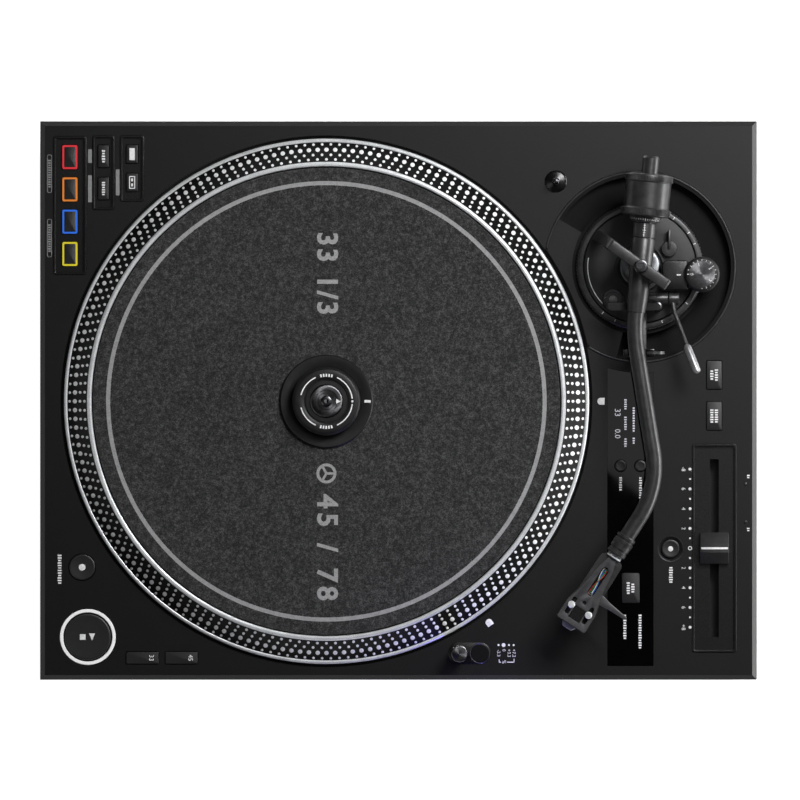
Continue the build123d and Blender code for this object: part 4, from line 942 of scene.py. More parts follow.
def build_deck_print():
    """Scale of the fader, strobe legend, small label plates and other plain marks."""
    marks = []
    z = DECK + 0.02
    fader = middle("fader_cap")
    for i in range(-8, 9):
        radius = 0.95 if i % 2 == 0 else 0.6
        if i:
            marks.append(turn("dot", [(radius, z - 0.02), (radius, z + 0.03)], sides=16,
                              matrix=standing(FADER_SCALE_X, fader.y + i * FADER_SCALE_STEP)))
    marks.append(turn("ring", [
        (1.3, z - 0.02), (1.3, z + 0.03), (0.8, z + 0.03), (0.8, z - 0.02), (1.3, z - 0.02),
    ], sides=24, closed=True, matrix=standing(FADER_SCALE_X, fader.y)))
    for i, text in ((8, "-8"), (6, "6"), (4, "4"), (2, "2"), (-2, "2"), (-4, "4"), (-6, "6"), (-8, "+8")):
        spot = (FADER_SCALE_X - 4.2, fader.y + i * FADER_SCALE_STEP, z)
        marks.append(figure("number", text, spot, 2.5, heading=-90))
    # Strobe legend: four dots, their figures and a bracket.
    for x, radius in ((63.2, 0.65), (66.4, 1.25), (69.8, 0.65), (72.8, 0.65)):
        marks.append(turn("dot", [(radius, z - 0.02), (radius, z + 0.03)], sides=16, matrix=standing(x, -154.5)))
    for x, text in ((63.2, "-3.3"), (66.6, "0"), (69.8, "+3.3"), (72.9, "+7.2")):
        marks.append(figure("number", text, (x, -159.6 if len(text) > 1 else -157.8, z), 2.1, heading=-90))
    marks.append(figure("number", "%", (66.6, -165.2, z), 2.4, heading=-90))
    for x, y, w, d in ((63.6, -164.4, 0.5, 1.6), (64.1, -165.3, 1.4, 0.5), (70.9, -165.3, 4.4, 0.5),
                       (73.0, -164.2, 0.5, 1.9)):
        marks.append(brick("line", (x, y, z), (w, d, 0.05), bevel=0))
    # Short bars where a key has a word beside it.
    motor, reset = middle("motor_off_button"), middle("reset_button")
    for x, y, w, d in ((motor.x - 14.2, motor.y - 1.2, 1.6, 19.0), (reset.x + 0.2, reset.y - 16.5, 1.6, 10.5),
                       (221.0, -48.0, 1.2, 2.6), (221.0, -81.5, 1.2, 2.6)):
        marks.extend(word_bars(x, y, z, w, d))
    coat(join("deck_print", marks), INK_WHITE, "cabinet")
    dim = []
    for x, y, w, d in ((-194.9, 154.4, 2.4, 8.6), (-194.9, 133.8, 2.4, 17.0), (-177.4, 137.8, 2.4, 16.4)):
        dim.append(brick("bar", (x, y, z), (w, d, 0.05), bevel=0))
    for y in (143.3, 102.6):
        dim.append(frame_band("label", (3.0, 24.2), 0.35, z - 0.02, z + 0.03, standing(-220.5, y), 1.2))
        dim.extend(word_bars(-220.5, y, z, 1.2, 18.0))
    coat(join("deck_labels", dim), INK_DIM, "cabinet")


def build_display():
    """Figures of the small display under the glossy panel, and plain bars beside its keys."""
    top = box_mm("display_window")[1].z + 0.01
    marks = []
    for y, text, size in ((-7.6, "33", 3.8), (-21.0, "0.0", 3.6)):
        marks.append(figure("number", text, (138.3, y, top), size, heading=-90))
    for x, y, w, d in ((143.4, -2.4, 1.1, 7.0), (143.4, -14.4, 1.1, 9.0), (143.4, -26.6, 1.1, 6.0),
                       (148.6, -12.0, 0.9, 16.0), (148.6, -25.4, 0.9, 4.4)):
        marks.extend(word_bars(x, y, top, w, d))
    coat(join("display_figures", marks), DISPLAY_GLOW, "cabinet")
    bars = []
    for x, y, w, d in ((140.3, -52.6, 1.2, 9.0), (152.9, -56.0, 1.2, 15.6), (152.6, -146.0, 1.3, 22.0),
                       (143.0, -143.0, 1.3, 16.0)):
        bars.extend(word_bars(x, y, top, w, d))
    coat(join("display_print", bars), INK_WHITE, "cabinet")


# ---------------------------------------------------------------- tonearm base
# Places on the base: the boss with its screw, the lift bar's plunger, the cue cylinder's axis, the height lock.
BOSS_AT = (135.5, 63.5)
LIFT_AT = (163, 59.1)
CUE_Y, CUE_Z = 64.4, 112
LOCK_AT = (170.9, 95.7)


def build_height_ring():
    """Knurled height ring with its white index marks."""
    ring = turn("height_ring_body", [
        (35.8, 89.5), (39.6, 89.5), (39.6, 103.8), (39.4, 104.4), (38.8, 105.0), (38.2, 105.2), (36.3, 105.2),
        (35.9, 104.9), (35.8, 89.5),
    ], sides=192, closed=True, matrix=ON_PIVOT)
    coat(ring, BLACK_ANODISED, "ring", ["height_ring"])
    ribs = knurls("height_ring_knurls", 120, 39.7, 98.4, (0.8, 1.3, 10.6), ON_PIVOT)
    coat(ribs, BLACK_ANODISED, "ring")
    mark = brick("height_ring_marks", (0, 0, 0), (1.7, 0.45, 0.06), bevel=0)
    places = [round_places(1, 37.4, 105.22, ON_PIVOT, angle)[0]
              for angle in (55, 35, 23, -38, -68, -84, -115, -129)]
    coat(copies(mark, places), INK_WHITE, "ring")


def build_arm_base():
    """Base disc with a painted highlight for its groove line, bearing cup, bright disc and the boss with its
    screw.
    """
    base = turn("arm_base_disc", [
        (20, 88), (35.4, 97), (35.4, 103.9), (35.2, 104.3), (34.8, 104.5), (24, 104.5), (15.5, 104.5),
        (15.5, 108.6), (15.1, 109.0), (14.4, 109.0), (14.1, 108.7), (14.1, 107.0), (12.6, 107.0), (4.2, 107.0),
    ], sides=160, matrix=ON_PIVOT)
    coat(base, BASE_BLACK, "arm_mount", ["arm_base"])
    plate = turn("bearing_disc", [
        (12.6, 107.0), (12.6, 110.1), (12.2, 110.6), (11.6, 110.8), (7, 110.8), (4.3, 110.8),
    ], sides=128, matrix=ON_PIVOT)
    coat(plate, SPUN_BRIGHT, "arm_mount")
    # A bright strip over part of a groove that is not modelled on the disc: painted highlight where the groove's
    # wall would catch the light.
    painted_groove_highlight = arc_band("base_groove_painted_highlight", 33, 0.5, 104.5, 170, 59, ON_PIVOT, 0.05)
    coat(painted_groove_highlight, POLISHED, "arm_mount")
    boss = turn("base_boss", [
        (7.0, 104.4), (7.0, 105.7), (6.7, 106.0), (6.2, 106.1), (5.2, 106.1), (4.9, 105.8), (4.9, 105.1),
        (3, 105.1),
    ], sides=72, matrix=standing(*BOSS_AT))
    coat(boss, ABS, "arm_mount")
    screw = turn("boss_screw", [(3.2, 105.0), (3.2, 105.6), (2.9, 105.9), (1.4, 106.0)], sides=48,
                 matrix=standing(*BOSS_AT))
    coat(screw, DARK_CHROME, "arm_mount")


def build_anti_skate():
    """Anti-skate dial with ticks and figures, and the rounded housing beside it."""
    x, y = middle("anti_skate_dial").xy
    at = standing(x, y)
    dial = turn("skate_dial_body", [
        (10.4, 108.7), (11.0, 109.4), (11.0, 120.4), (10.7, 121.2), (10.0, 121.8), (9.4, 122.0), (4.6, 122.0),
        (4.2, 121.8), (3.9, 121.4), (1.2, 121.4),
    ], sides=128, matrix=at)
    coat(dial, CLAMP_BLACK, "skate_dial", ["anti_skate_dial"])
    face = turn("skate_dial_face", [
        (8.2, 121.9), (8.2, 122.02), (8.0, 122.05), (2.2, 122.05),
    ], sides=96, matrix=at)
    coat(face, SPUN_CAP, "skate_dial")
    coat(knurls("skate_dial_knurls", 60, 10.95, 114.6, (0.7, 0.6, 9.4), at), BLACK_ANODISED, "skate_dial")
    marks = []
    for i in range(16):
        length = 1.6 if i % 2 == 0 else 0.9
        place = round_places(1, 9.4 - length / 2, 122.02, at, 180 - 18 * i)[0]
        tick = brick("tick", (0, 0, 0), (length, 0.28, 0.05), bevel=0)
        tick.data.transform(place)
        marks.append(tick)
    for i, text in enumerate(("0", "1", "2", "3")):
        spot = along(x, y, 180 - 72 * i, 6.3)
        marks.append(figure("number", text, (*spot, 122.08), 2.0, heading=90 - 72 * i))
    coat(join("skate_dial_scale", marks), INK_WHITE, "skate_dial")
    # The housing's corners that are clear of the dial, in their order round it.
    outline = [(175.0 + px, 79.0 + py) for px, py in key_outline(18.0, 19.4, 4.0, 6)]
    clear = [(px, py) for px, py in outline if hypot(px - x, py - y) > 11.5]
    clear.sort(key=lambda corner: atan2(corner[1] - 79.0, corner[0] - 174.0))
    housing = slab("skate_housing", clear, 104.5, 118.0, bevel=1.6, steps=4)
    coat(housing, ABS, "arm_mount", ["arm_fittings"])
    index = brick("skate_index", (176.8, 79.3, 118.02), (2.6, 0.7, 0.05), bevel=0)
    coat(index, INK_WHITE, "arm_mount")
    dial_foot = turn("skate_bracket", [(8, 106.4), (8, 108.2), (7.7, 108.4), (3, 108.4)], sides=64, matrix=at)
    coat(dial_foot, ABS, "arm_mount")


def build_cueing():
    """Cue cylinder, its bent lever with a bright handle, and the lift bar on its plunger."""
    barrel = turn("cue_barrel", [
        (3.9, 0), (4.1, 0.3), (4.1, 12.6), (3.9, 13.0), (2.0, 13.1),
    ], sides=64, matrix=level_axis(157, CUE_Y, CUE_Z, 0))
    coat(barrel, BLACK_ANODISED, "arm_mount")
    foot = brick("cue_foot", (163, CUE_Y, 107.4), (10, 5, 6), 0.5)
    coat(foot, ABS, "arm_mount")
    guide = turn("lift_guide", [
        (3.4, 104.6), (3.4, 121.2), (3.1, 121.8), (2.3, 122.0), (2.1, 121.6), (2.1, 104.6), (3.4, 104.6),
    ], sides=48, closed=True, matrix=standing(*LIFT_AT))
    coat(guide, DARK_CHROME, "arm_mount")
    hub = turn("cue_hub", [
        (3.9, 0), (4.1, 0.3), (4.1, 6.0), (3.9, 6.4), (3.3, 6.6), (2.8, 6.4), (1.0, 6.3),
    ], sides=64, matrix=level_axis(170.6, CUE_Y, CUE_Z, 0))
    coat(hub, BLACK_ANODISED, "lever", ["cue_lever"])
    grip_start, tip = Vector((181.6, 35.1, 122.8)), Vector((188.6, 17.4, 129.2))
    rod = tube("cue_rod", [(173.0, 63.4, 113.5), (173.3, 60.6, 114.1), (174.0, 55.9, 115.2),
                           grip_start + (tip - grip_start) * 0.05], 1.4, 6)
    coat(rod, BLACK_ANODISED, "lever")
    run = (tip - grip_start).normalized()
    lay = Matrix.Translation(mm(*grip_start)) @ run.to_track_quat("Z", "Y").to_matrix().to_4x4()
    length = (tip - grip_start).length
    grip = turn("cue_handle", [
        (1.5, 0), (1.9, 0.6), (2.4, 1.6), (2.5, 3.0), (2.5, length - 1.6), (2.2, length - 0.6),
        (1.5, length - 0.1),
        (0.6, length),
    ], sides=56, matrix=lay)
    coat(grip, SATIN_NICKEL, "lever")
    bar_top = box_mm("lift_bar")[1].z
    bar = slab("lift_rest", [
        (-17, -1.4), (-15.6, -2.6), (10, -2.6), (15.6, -2.2), (17, -0.8), (17, 0.8), (15.6, 2.2), (10, 2.6),
        (-15.6, 2.6), (-17, 1.4),
    ], bar_top - 3, bar_top, bevel=0.9, matrix=standing(148.3, 59.1), steps=4)
    coat(bar, RUBBER, "lifter", ["lift_bar"])
    plunger = turn("lift_plunger", [(2, 120.8), (2, bar_top - 2.8), (1.8, bar_top - 2.6)], sides=40,
                   matrix=standing(*LIFT_AT))
    coat(plunger, NICKEL, "lifter")


def build_lock_and_rest():
    """Height lock with its fin, and the armrest's post, cradle and open hook."""
    lock = turn("lock_hub", [
        (5.0, 104.8), (5.0, 108.9), (4.7, 109.4), (4.2, 109.5), (2.0, 109.5),
    ], sides=64, matrix=standing(*LOCK_AT))
    coat(lock, BLACK_ANODISED, "lock", ["height_lock"])
    fin = brick("lock_fin", (LOCK_AT[0], LOCK_AT[1] + 6, 108.5), (1.7, 12, 5), 0.5)
    coat(fin, BLACK_ANODISED, "lock")
    post = slab("rest_post", key_outline(7, 6, 2), 106, 130, bevel=0.3, matrix=standing(151.6, 30))
    coat(post, BLACK_ANODISED, "arm_mount", ["armrest"])
    arm = slab("rest_bracket", key_outline(9, 30, 3, 6), 106, 109, bevel=0.5, matrix=standing(152.1, 42))
    coat(arm, BLACK_ANODISED, "arm_mount")
    seat = slab("rest_seat", [
        (-9.8, 129.0), (9.8, 129.0), (9.8, 134.4), (5.9, 134.4), (4.6, 134.35), (-5.0, 134.35), (-6.4, 135.6),
        (-9.8, 135.6),
    ], -2.5, 2.5, bevel=0.6, steps=3,
        matrix=Matrix.Translation(mm(151.4, 30, 0)) @ Matrix.Rotation(radians(90), 4, "X"))
    coat(seat, ABS, "arm_mount")
    for side in (-1, 1):
        cheek = brick(f"rest_cheek_{side + 2}", (158.7, 30 + side * 1.85, 135.8), (5.4, 1.25, 3.6), 0.5)
        coat(cheek, ABS, "arm_mount")


def build_arch_and_gimbal():
    """Arch over the pivots with its cap, and the gimbal frame with its pivot screws."""
    outline = [
        (34.6, 104.6), (34.6, 110), (25.5, 153.5), (23.5, 155.6), (-19.5, 155.6), (-20.9, 154.2),
        (-20.9, 118.1),
        (-17.7, 118.1), (-17.7, 152.4), (20.5, 152.4), (29.1, 110), (29.1, 104.6),
    ]
    upright = standing(PIVOT.x, PIVOT.y, 0, GIMBAL_HEADING + 180) @ Matrix.Rotation(radians(90), 4, "X")
    arch = slab("arch_bridge", outline, -3.6, 3.6, bevel=0.8, steps=3, matrix=upright)
    coat(arch, BLACK_ANODISED, "arm_mount", ["arm_arch"])
    cap = turn("arch_cap", [
        (4.4, 155.5), (4.4, 156.9), (4.1, 157.4), (3.6, 157.6), (2.2, 157.6), (1.8, 157.3), (0.6, 157.3),
    ], sides=72, matrix=ON_PIVOT)
    coat(cap, DARK_CHROME, "arm_mount")
    for i, side in enumerate((0, 180)):
        lay = level_axis(PIVOT.x, PIVOT.y, PIVOT.z, GIMBAL_HEADING + side)
        pivot = turn(f"pivot_screw_{i + 1}", [(3.3, 15.4), (3.3, 16.6), (3.0, 17.0), (2.4, 17.1), (1.0, 16.7)],
                     sides=48, matrix=lay)
        coat(pivot, DARK_CHROME, "gimbal")


# ---------------------------------------------------------------- tonearm
# Corners of the tube's route from the pivot, and lengths: housing's front, lock nut, start of the headshell.
BEND_A, BEND_B = Vector((-4.09, -42.45)), Vector((11.4, -139.1))
TUBE_FRONT, NUT_LENGTH, SHELL_AT = 29.1, 13.6, 16.0


def rounded_route(corners, radii, steps=20):
    """A level polyline through corners in mm, with its inner corners turned into arcs."""
    points = [corners[0]]
    for before, corner, after, radius in zip(corners, corners[1:], corners[2:], radii):
        back, on = (before - corner).normalized(), (after - corner).normalized()
        half = back.angle(on) / 2
        reach = radius / tan(half)
        centre = corner + (back + on).normalized() * (radius / sin(half))
        first, last = corner + back * reach - centre, corner + on * reach - centre
        sweep = first.angle_signed(last)
        for i in range(steps + 1):
            points.append(centre + Matrix.Rotation(-sweep * i / steps, 2) @ first)
    return points + [corners[-1]]


def build_arm_tube():
    """S-shaped tube drawn along the arm's route, and the bright neck ring before the nut."""
    front = Vector(along(0, 0, ARM_HEADING, TUBE_FRONT - 2))
    end = Vector((NUT.x - PIVOT.x, NUT.y - PIVOT.y)) + Vector(along(0, 0, HEAD_HEADING, NUT_LENGTH))
    route = rounded_route([front, BEND_A, BEND_B, end], (90, 60))
    bar = tube("tonearm_tube", [(PIVOT.x + p.x, PIVOT.y + p.y, PIVOT.z) for p in route], 5.1, 10)
    coat(bar, BLACK_ANODISED, "tonearm", ["arm_tube"])
    neck = turn("neck_ring", [
        (4.6, -0.9), (4.9, -0.6), (4.9, 1.3), (4.5, 1.7), (3.0, 1.8),
    ], sides=64, matrix=level_axis(*along(NUT.x, NUT.y, HEAD_HEADING, NUT_LENGTH + 0.9), PIVOT.z, HEAD_HEADING))
    coat(neck, POLISHED, "tonearm")


def build_lock_nut():
    """Lock nut with deep ribs at both ends of its grip."""
    lay = level_axis(NUT.x, NUT.y, PIVOT.z, HEAD_HEADING)
    body = turn("lock_nut_body", [
        (5.15, 0.0), (5.9, 0.0), (6.3, 0.5), (6.3, 2.0), (5.8, 2.4), (5.8, 3.2), (6.3, 3.6), (6.3, 9.4),
        (5.8, 9.8), (5.8, 10.6), (6.3, 11.0), (6.3, 13.0), (5.9, 13.6), (5.15, 13.6), (5.15, 0.0),
    ], sides=96, closed=True, matrix=lay)
    coat(body, BLACK_ANODISED, "nut", ["lock_nut"])
    ribs = knurls("lock_nut_knurls", 44, 6.3, 5.0, (0.4, 0.5, 2.6), lay, 0.12)
    coat(ribs, BLACK_ANODISED, "nut")


def build_arm_housing():
    """Turned housing at the pivots, and the sleeve and stub that carry the weight."""
    body = turn("arm_housing_body", [
        (5.2, -29.1), (5.6, -28.8), (6.35, -20.9), (6.4, -20.3), (7.55, 17.2), (7.3, 17.8), (6.4, 17.8),
        (6.4, 18.4), (7.0, 18.4), (7.2, 18.7), (7.2, 27.0), (6.9, 27.4), (5.2, 27.4), (5.2, 68.6), (4.4, 69.8),
        (2, 69.8),
    ], sides=96, matrix=REAR)
    coat(body, BLACK_ANODISED, "tonearm", ["arm_housing"])
    strokes = [brick("stroke", (0, 0, 0), (0.05, 0.35, 8.2), bevel=0)]
    for z in (-3, -1.5, 0, 1.5, 3):
        strokes.append(brick("stroke", (0, 0, z), (0.05, 2.2 if z == 0 else 1.4, 0.3), bevel=0))
    line = join("sleeve_scale", strokes)
    line.data.transform(REAR @ Matrix.Rotation(radians(180), 4, "Z") @ Matrix.Translation(mm(7.29, 0, 22.9)))
    coat(line, INK_WHITE, "tonearm")


def build_weight():
    """Gauge ring with its scale, and the counterweight with two knurled collars."""
    ring = turn("gauge_ring_body", [
        (5.6, 28.0), (8.2, 28.0), (8.5, 28.3), (10.1, 31.0), (10.1, 31.4), (7.0, 31.4), (7.0, 56.0),
        (5.6, 56.0),
        (5.6, 28.0),
    ], sides=96, closed=True, matrix=REAR)
    coat(ring, BLACK_ANODISED, "gauge", ["gauge_ring"])
    marks = []
    slope = atan2(1.6, 2.7)
    for i in range(40):
        length = 1.9 if i % 5 == 0 else 1.1
        tick = brick("tick", (0, 0, 0), (0.06, 0.26, length), bevel=0)
        spot = Matrix.Rotation(radians(9 * i), 4, "Z") @ Matrix.Translation(mm(9.33, 0, 29.7))
        tick.data.transform(REAR @ spot @ Matrix.Rotation(slope, 4, "Y"))
        marks.append(tick)
    coat(join("gauge_ring_scale", marks), INK_WHITE, "gauge")
    weight = turn("weight_body", [
        (7.4, 31.8), (14.2, 31.8), (14.9, 32.3), (15.0, 33.0), (15.0, 36.3), (14.6, 36.9), (14.3, 37.3),
        (14.3, 53.1), (14.6, 53.5), (14.8, 54.0), (14.8, 57.2), (14.4, 58.1), (13.6, 58.4), (9.4, 58.4),
        (9.0, 58.0), (7.6, 56.8), (7.4, 31.8),
    ], sides=128, closed=True, matrix=REAR)
    coat(weight, BLACK_ANODISED, "weight", ["counterweight"])
    for name, radius, place, size in (("weight_knurls_front", 15.05, 34.6, (0.7, 0.6, 3.9)),
                                      ("weight_knurls_back", 14.8, 55.6, (0.6, 0.6, 3.6))):
        coat(knurls(name, 96, radius, place, size, REAR), BLACK_ANODISED, "weight")


# ---------------------------------------------------------------- headshell and cartridge
HEAD = Vector((*along(NUT.x, NUT.y, HEAD_HEADING, SHELL_AT), 0))
ON_HEAD = standing(HEAD.x, HEAD.y, 0, HEAD_HEADING)
SHELL_LOW, SHELL_SHOULDER, SHELL_HIGH = 138.4, 140.6, 142.6
# Openings through both plates: middle along and across, length and width.
SHELL_SLOTS = ((18.0, 0, 21, 4.6), (33.7, 0, 2.6, 2.59), (39.5, 6.35, 12, 3.0), (39.5, -6.35, 12, 3.0))


def slot_outline(centre_u, centre_n, length, width, steps=8):
    """Corners of a round-ended slot that runs along the headshell."""
    points = []
    for end, begin in ((1, -90), (-1, 90)):
        for i in range(steps + 1):
            angle = radians(begin + 180 * i / steps)
            u = centre_u + end * (length - width) / 2 + width / 2 * cos(angle)
            points.append((u, centre_n + width / 2 * sin(angle)))
    return points


def carve(piece, cutter):
    """Cuts one piece out of another and removes the cutter."""
    only(piece)
    cut = piece.modifiers.new("cut", "BOOLEAN")
    cut.operation = "DIFFERENCE"
    cut.solver = "EXACT"
    cut.object = cutter
    bpy.ops.object.modifier_apply(modifier=cut.name)
    bpy.data.objects.remove(cutter)


def build_headshell():
    """Headshell: shoulder plate, narrower top plate with its window and slots, and a flat finger lift."""
    side = [(0, 5.0), (1.4, 7.2), (3.4, 7.9), (27, 8.2), (37, 10.4), (49, 10.6), (50.3, 9.8)]
    outline = side + [(u, -n) for u, n in reversed(side)]
    shell = slab("shell_plate", outline, SHELL_LOW, SHELL_SHOULDER, bevel=0)
    for cutter in SHELL_SLOTS:
        carve(shell, slab("cutter", slot_outline(*cutter), SHELL_LOW - 1, SHELL_HIGH + 1, bevel=0))
    soften(shell, 0.45, 2, 50)
    smooth(settle(shell, ON_HEAD))
    coat(shell, BLACK_ANODISED, "tonearm", ["headshell"])
    half = [(1.2, 2.5), (8, 4.6), (18, 5.8), (27, 7.2), (37, 10.1), (49, 10.3), (49.9, 9.6)]
    face = half + [(u, -n) for u, n in reversed(half)]
    top = slab("shell_top_plate", face, SHELL_SHOULDER - 0.4, SHELL_HIGH, bevel=0)
    for cutter in SHELL_SLOTS:
        carve(top, slab("cutter", slot_outline(*cutter), SHELL_LOW, SHELL_HIGH + 1, bevel=0))
    carve(top, brick("cutter", (42.1, 0, SHELL_HIGH), (8.8, 8.4, 0.7), bevel=0))
    soften(top, 0.5, 3, 50)
    coat(smooth(settle(top, ON_HEAD)), SHELL_GREY, "tonearm")
    pad = brick("shell_label_pad", (42.1, 0, SHELL_HIGH - 0.32), (8.6, 8.2, 0.1), bevel=0)
    coat(settle(pad, ON_HEAD), ABS, "tonearm")
    neck = turn("shell_neck", [
        (3.6, -2.1), (4.9, -2.0), (4.9, -0.8), (4.4, 0.6), (2.0, 0.8),
    ], sides=72, matrix=level_axis(HEAD.x, HEAD.y, 140, HEAD_HEADING))
    coat(neck, BLACK_ANODISED, "tonearm")
    lift = slab("finger_lift", [
        (23.5, 7.0), (30, 7.0), (29.3, 14), (29, 26.5), (28, 28), (26.9, 26.5), (25.2, 14),
    ], 139.4, 140.7, bevel=0.45, steps=3)
    # Beyond its bend the lift slopes upwards.
    bend_at, slope = mm(20), 0.35
    for corner in lift.data.vertices:
        if corner.co.y > bend_at:
            corner.co.z += (corner.co.y - bend_at) * slope
    coat(smooth(settle(lift, ON_HEAD)), SHELL_GREY, "tonearm")


def build_leads():
    """Four coloured leads that cross in the headshell's window, over a black plate of painted shade, with
    crimped tags at both ends.
    """
    ends = ((-1.2, 0.6), (1.3, -1.3), (-0.4, 1.3), (0.5, -0.5))
    for i, ((start, end), finish) in enumerate(zip(ends, LEAD_FINISHES)):
        bow = 0.5 if i % 2 else -0.3
        points = [(8.6, start, 139.9), (11.5, start * 1.1, 140.2 + bow), (14.8, start * 0.8, 140.6 + bow),
                  (19.6, end * 0.7, 140.6 + bow), (23.5, end * 1.1, 140.2), (27.6, end, 139.6)]
        start_clean()
        bpy.ops.curve.primitive_nurbs_path_add(location=(0, 0, 0))
        lead = bpy.context.object
        lead.name = lead.data.name = f"cartridge_lead_{i + 1}"
        line = lead.data.splines[0]
        line.points.add(len(points) - len(line.points))
        for point, place in zip(line.points, points):
            point.co = (*(ON_HEAD @ mm(*place)), 1)
        line.use_endpoint_u = True
        line.order_u = 4
        lead.data.bevel_depth = mm(0.25)
        lead.data.bevel_resolution = 3
        bpy.ops.object.convert(target="MESH")
        lead = bpy.context.object
        lead.name = lead.data.name = f"cartridge_lead_{i + 1}"
        coat(smooth(settle(lead), 60), finish, "tonearm")
    # Black plate that closes the window under the leads: painted shade below them.
    floor = brick("lead_window_painted_shade", (18.0, 0, SHELL_LOW + 0.2), (20.6, 4.4, 0.3), bevel=0)
    coat(settle(floor, ON_HEAD), STROBE_BLACK, "tonearm")
    tags = []
    for u in (9.2, 27.0):
        for n in (-1.5, -0.5, 0.5, 1.5):
            tags.append(brick("tag", (u, n, 139.8), (1.8, 0.62, 0.7), bevel=0.12, steps=1))
    coat(settle(join("lead_tags", tags), ON_HEAD), NICKEL, "tonearm")


def build_cartridge():
    """Cartridge body, its stylus holder with the cantilever, and two slotted screws."""
    outline = [(36 + u, n) for u, n in key_outline(27, 15.6, 1.2)]
    body = slab("cartridge_body", outline, 126.0, SHELL_LOW, bevel=0.5, matrix=ON_HEAD)
    coat(body, ABS, "tonearm", ["cartridge"])
    holder = slab("stylus_holder", [
        (40.7, 4.2), (50.4, 4.2), (53.2, 2.6), (53.2, -3.8), (50.4, -5.4), (40.7, -5.4),
    ], 122.0, 132.0, bevel=0.6, matrix=ON_HEAD)
    coat(holder, HOLDER_GREY, "tonearm")
    run = [tuple(ON_HEAD @ mm(*point) / MM) for point in ((40, -0.6, 122.6), (47, -0.6, 119.6))]
    arm = tube("cantilever", run, 0.4, 4)
    coat(arm, NICKEL, "tonearm")
    tip = turn("stylus_tip", [(0.42, 120.1), (0.35, 119.2), (0.12, 118.35)], sides=20,
               matrix=ON_HEAD @ Matrix.Translation(mm(47, -0.6, 0)))
    coat(tip, NICKEL, "tonearm")
    for i, side in enumerate((-1, 1)):
        head = turn(f"cartridge_screw_{i + 1}", [
            (2.3, SHELL_HIGH), (2.3, SHELL_HIGH + 0.9), (1.95, SHELL_HIGH + 1.3), (1.2, SHELL_HIGH + 1.4),
        ], sides=48)
        carve(head, brick("cutter", (0, 0, SHELL_HIGH + 1.4), (6, 0.55, 1.1), bevel=0))
        spot = Matrix.Translation(mm(39, side * 6.35, 0)) @ Matrix.Rotation(radians(25 + 50 * i), 4, "Z")
        coat(smooth(settle(head, ON_HEAD @ spot)), POLISHED, "tonearm")


# ---------------------------------------------------------------- CAD nodes that keep their shape
def dress_cad_nodes():
    """Materials of the CAD nodes that are shown as they are."""
    finishes = (
        (POWDER_COAT, ("top_chassis",)),
        (TUB_RESIN, ("base_tray",)),
        (ABS, ("deck_trays", "rear_sockets", "power_rocker")),
        (BOWL_ABS, ("arm_surround",)),
        (BLACK_ANODISED, ("gimbal_frame", "armrest_clamp")),
        (ZINC_SHEET, ("bottom_cover", "case_screws", "rear_panel", "motor", "rotor")),
        (BOARD_PAINTED_SHADE, ("circuit_boards", "power_supply")),
        (ACRYLIC, ("display_window",)),
        (RUBBER, ("feet",)),
    )
    for finish, nodes in finishes:
        for node in nodes:
            piece = bpy.data.objects[node]
            for slot in piece.material_slots:
                slot.link = "OBJECT"
                slot.material = finish


# ---------------------------------------------------------------- floor, light and camera
def area_light(name, place, target, size, power, colour=(1, 1, 1), depth=None):
    """A rectangular light that looks from one place to another, both in metres."""
    start_clean()
    bpy.ops.object.light_add(type="AREA", location=place)
    light = bpy.context.object
    light.name = light.data.name = name
    light.data.shape = "RECTANGLE"
    light.data.size = size
    light.data.size_y = depth or size
    light.data.energy = power
    light.data.color = colour
    light.rotation_euler = (Vector(target) - Vector(place)).to_track_quat("-Z", "Y").to_euler()
    return light


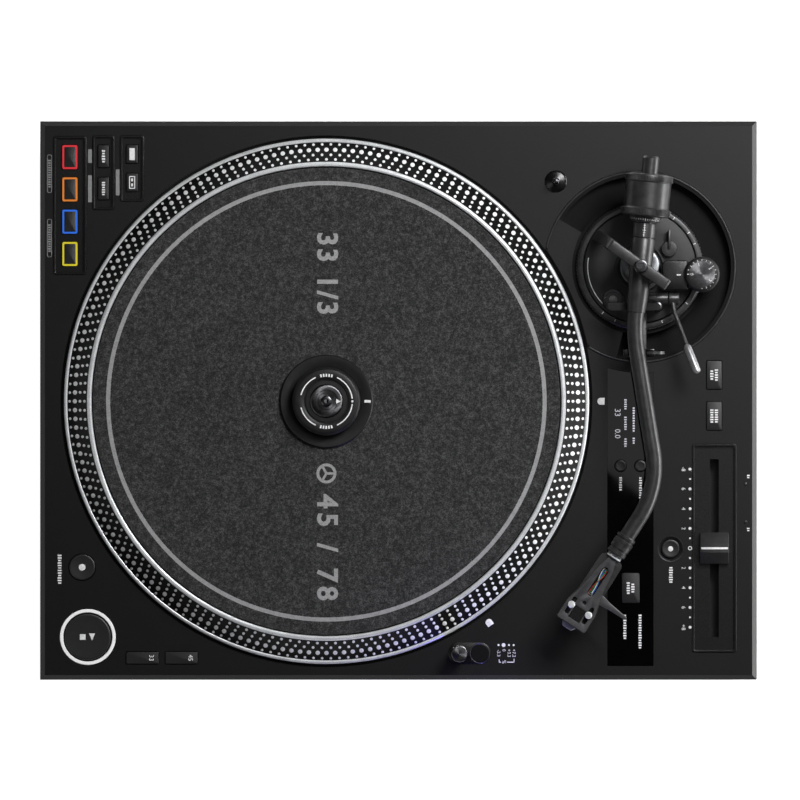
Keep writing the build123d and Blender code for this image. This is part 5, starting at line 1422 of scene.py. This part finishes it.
def build_surroundings():
    """White seamless table and a soft studio light from the upper right."""
    floor_finish, shader, place = finish_of("white_laminate_table", 0.0, 0.9)
    faint = grain(floor_finish, place, 40.0)
    white = tones(floor_finish, faint, [(0.3, "#F6F6F6"), (0.7, "#FAFAFA")])
    link(floor_finish, white, shader.inputs["Base Color"])
    shader.inputs["Emission Color"].default_value = (1, 1, 1, 1)
    shader.inputs["Emission Strength"].default_value = 0.95
    start_clean()
    bpy.ops.mesh.primitive_plane_add(size=24.0, location=(0, 0, 0))
    table = bpy.context.object
    table.name = table.data.name = "table_top"
    table.data.materials.append(floor_finish)
    area_light("key", (0.62, 0.62, 1.25), (0.05, 0.0, 0.1), 0.5, 19)
    area_light("fill", (-0.95, -0.5, 1.5), (-0.05, 0.0, 0.1), 0.6, 1.5)
    area_light("right_strip", (1.5, 0.0, 0.2), (0.2, 0, 0.1), 1.6, 20, depth=0.25)
    area_light("stylus_glow", (0.06, -0.225, 0.140), (0.032, -0.150, 0.106), 0.012, 0.035, (0.2, 0.15, 1.0))
    # High card whose slanting edge shows in the glossy panel.
    edge_middle, slant = Vector((0.1586, -0.058)), radians(-35)
    side = 1.2
    card_middle = edge_middle + Vector((-sin(slant), cos(slant))) * side / 2
    card = area_light("sky_card", (*card_middle, 1.5), (*card_middle, 0), side, 2.6)
    card.rotation_euler = (0, 0, slant)
    world = bpy.data.worlds.new("studio")
    world.use_nodes = True
    background = world.node_tree.nodes["Background"]
    background.inputs["Color"].default_value = linear("#DCDDE0")
    background.inputs["Strength"].default_value = 0.035
    bpy.context.scene.world = world
    bpy.context.scene.view_settings.view_transform = "Standard"


# Metres: the middle and width of the view on the deck, the camera's height over the deck; the sensor in mm.
FRAME_MIDDLE, FRAME_WIDTH = (0.00095, 0.00032), 0.50544
CAMERA_RISE, SENSOR_WIDTH = 12.0, 36


def build_camera():
    """Long lens straight above the deck."""
    start_clean()
    bpy.ops.object.camera_add(location=(*FRAME_MIDDLE, DECK * MM + CAMERA_RISE), rotation=(0, 0, 0))
    camera = bpy.context.object
    camera.name = camera.data.name = "above_the_deck"
    camera.data.sensor_width = SENSOR_WIDTH
    camera.data.lens = SENSOR_WIDTH * CAMERA_RISE / FRAME_WIDTH
    camera.data.clip_end = 40
    bpy.context.scene.camera = camera


build_camera()
build_surroundings()
dress_cad_nodes()
build_platter()
build_strobe_dots()
build_slipmat()
build_clamp()
build_pads()
build_keys()
build_round_buttons()
build_deck_fittings()
build_tray_rims()
build_surround_land()
build_needle_lamp()
build_fader()
build_deck_print()
build_display()
build_height_ring()
build_arm_base()
build_anti_skate()
build_cueing()
build_lock_and_rest()
build_arch_and_gimbal()
build_arm_tube()
build_lock_nut()
build_arm_housing()
build_weight()
build_headshell()
build_leads()
build_cartridge()
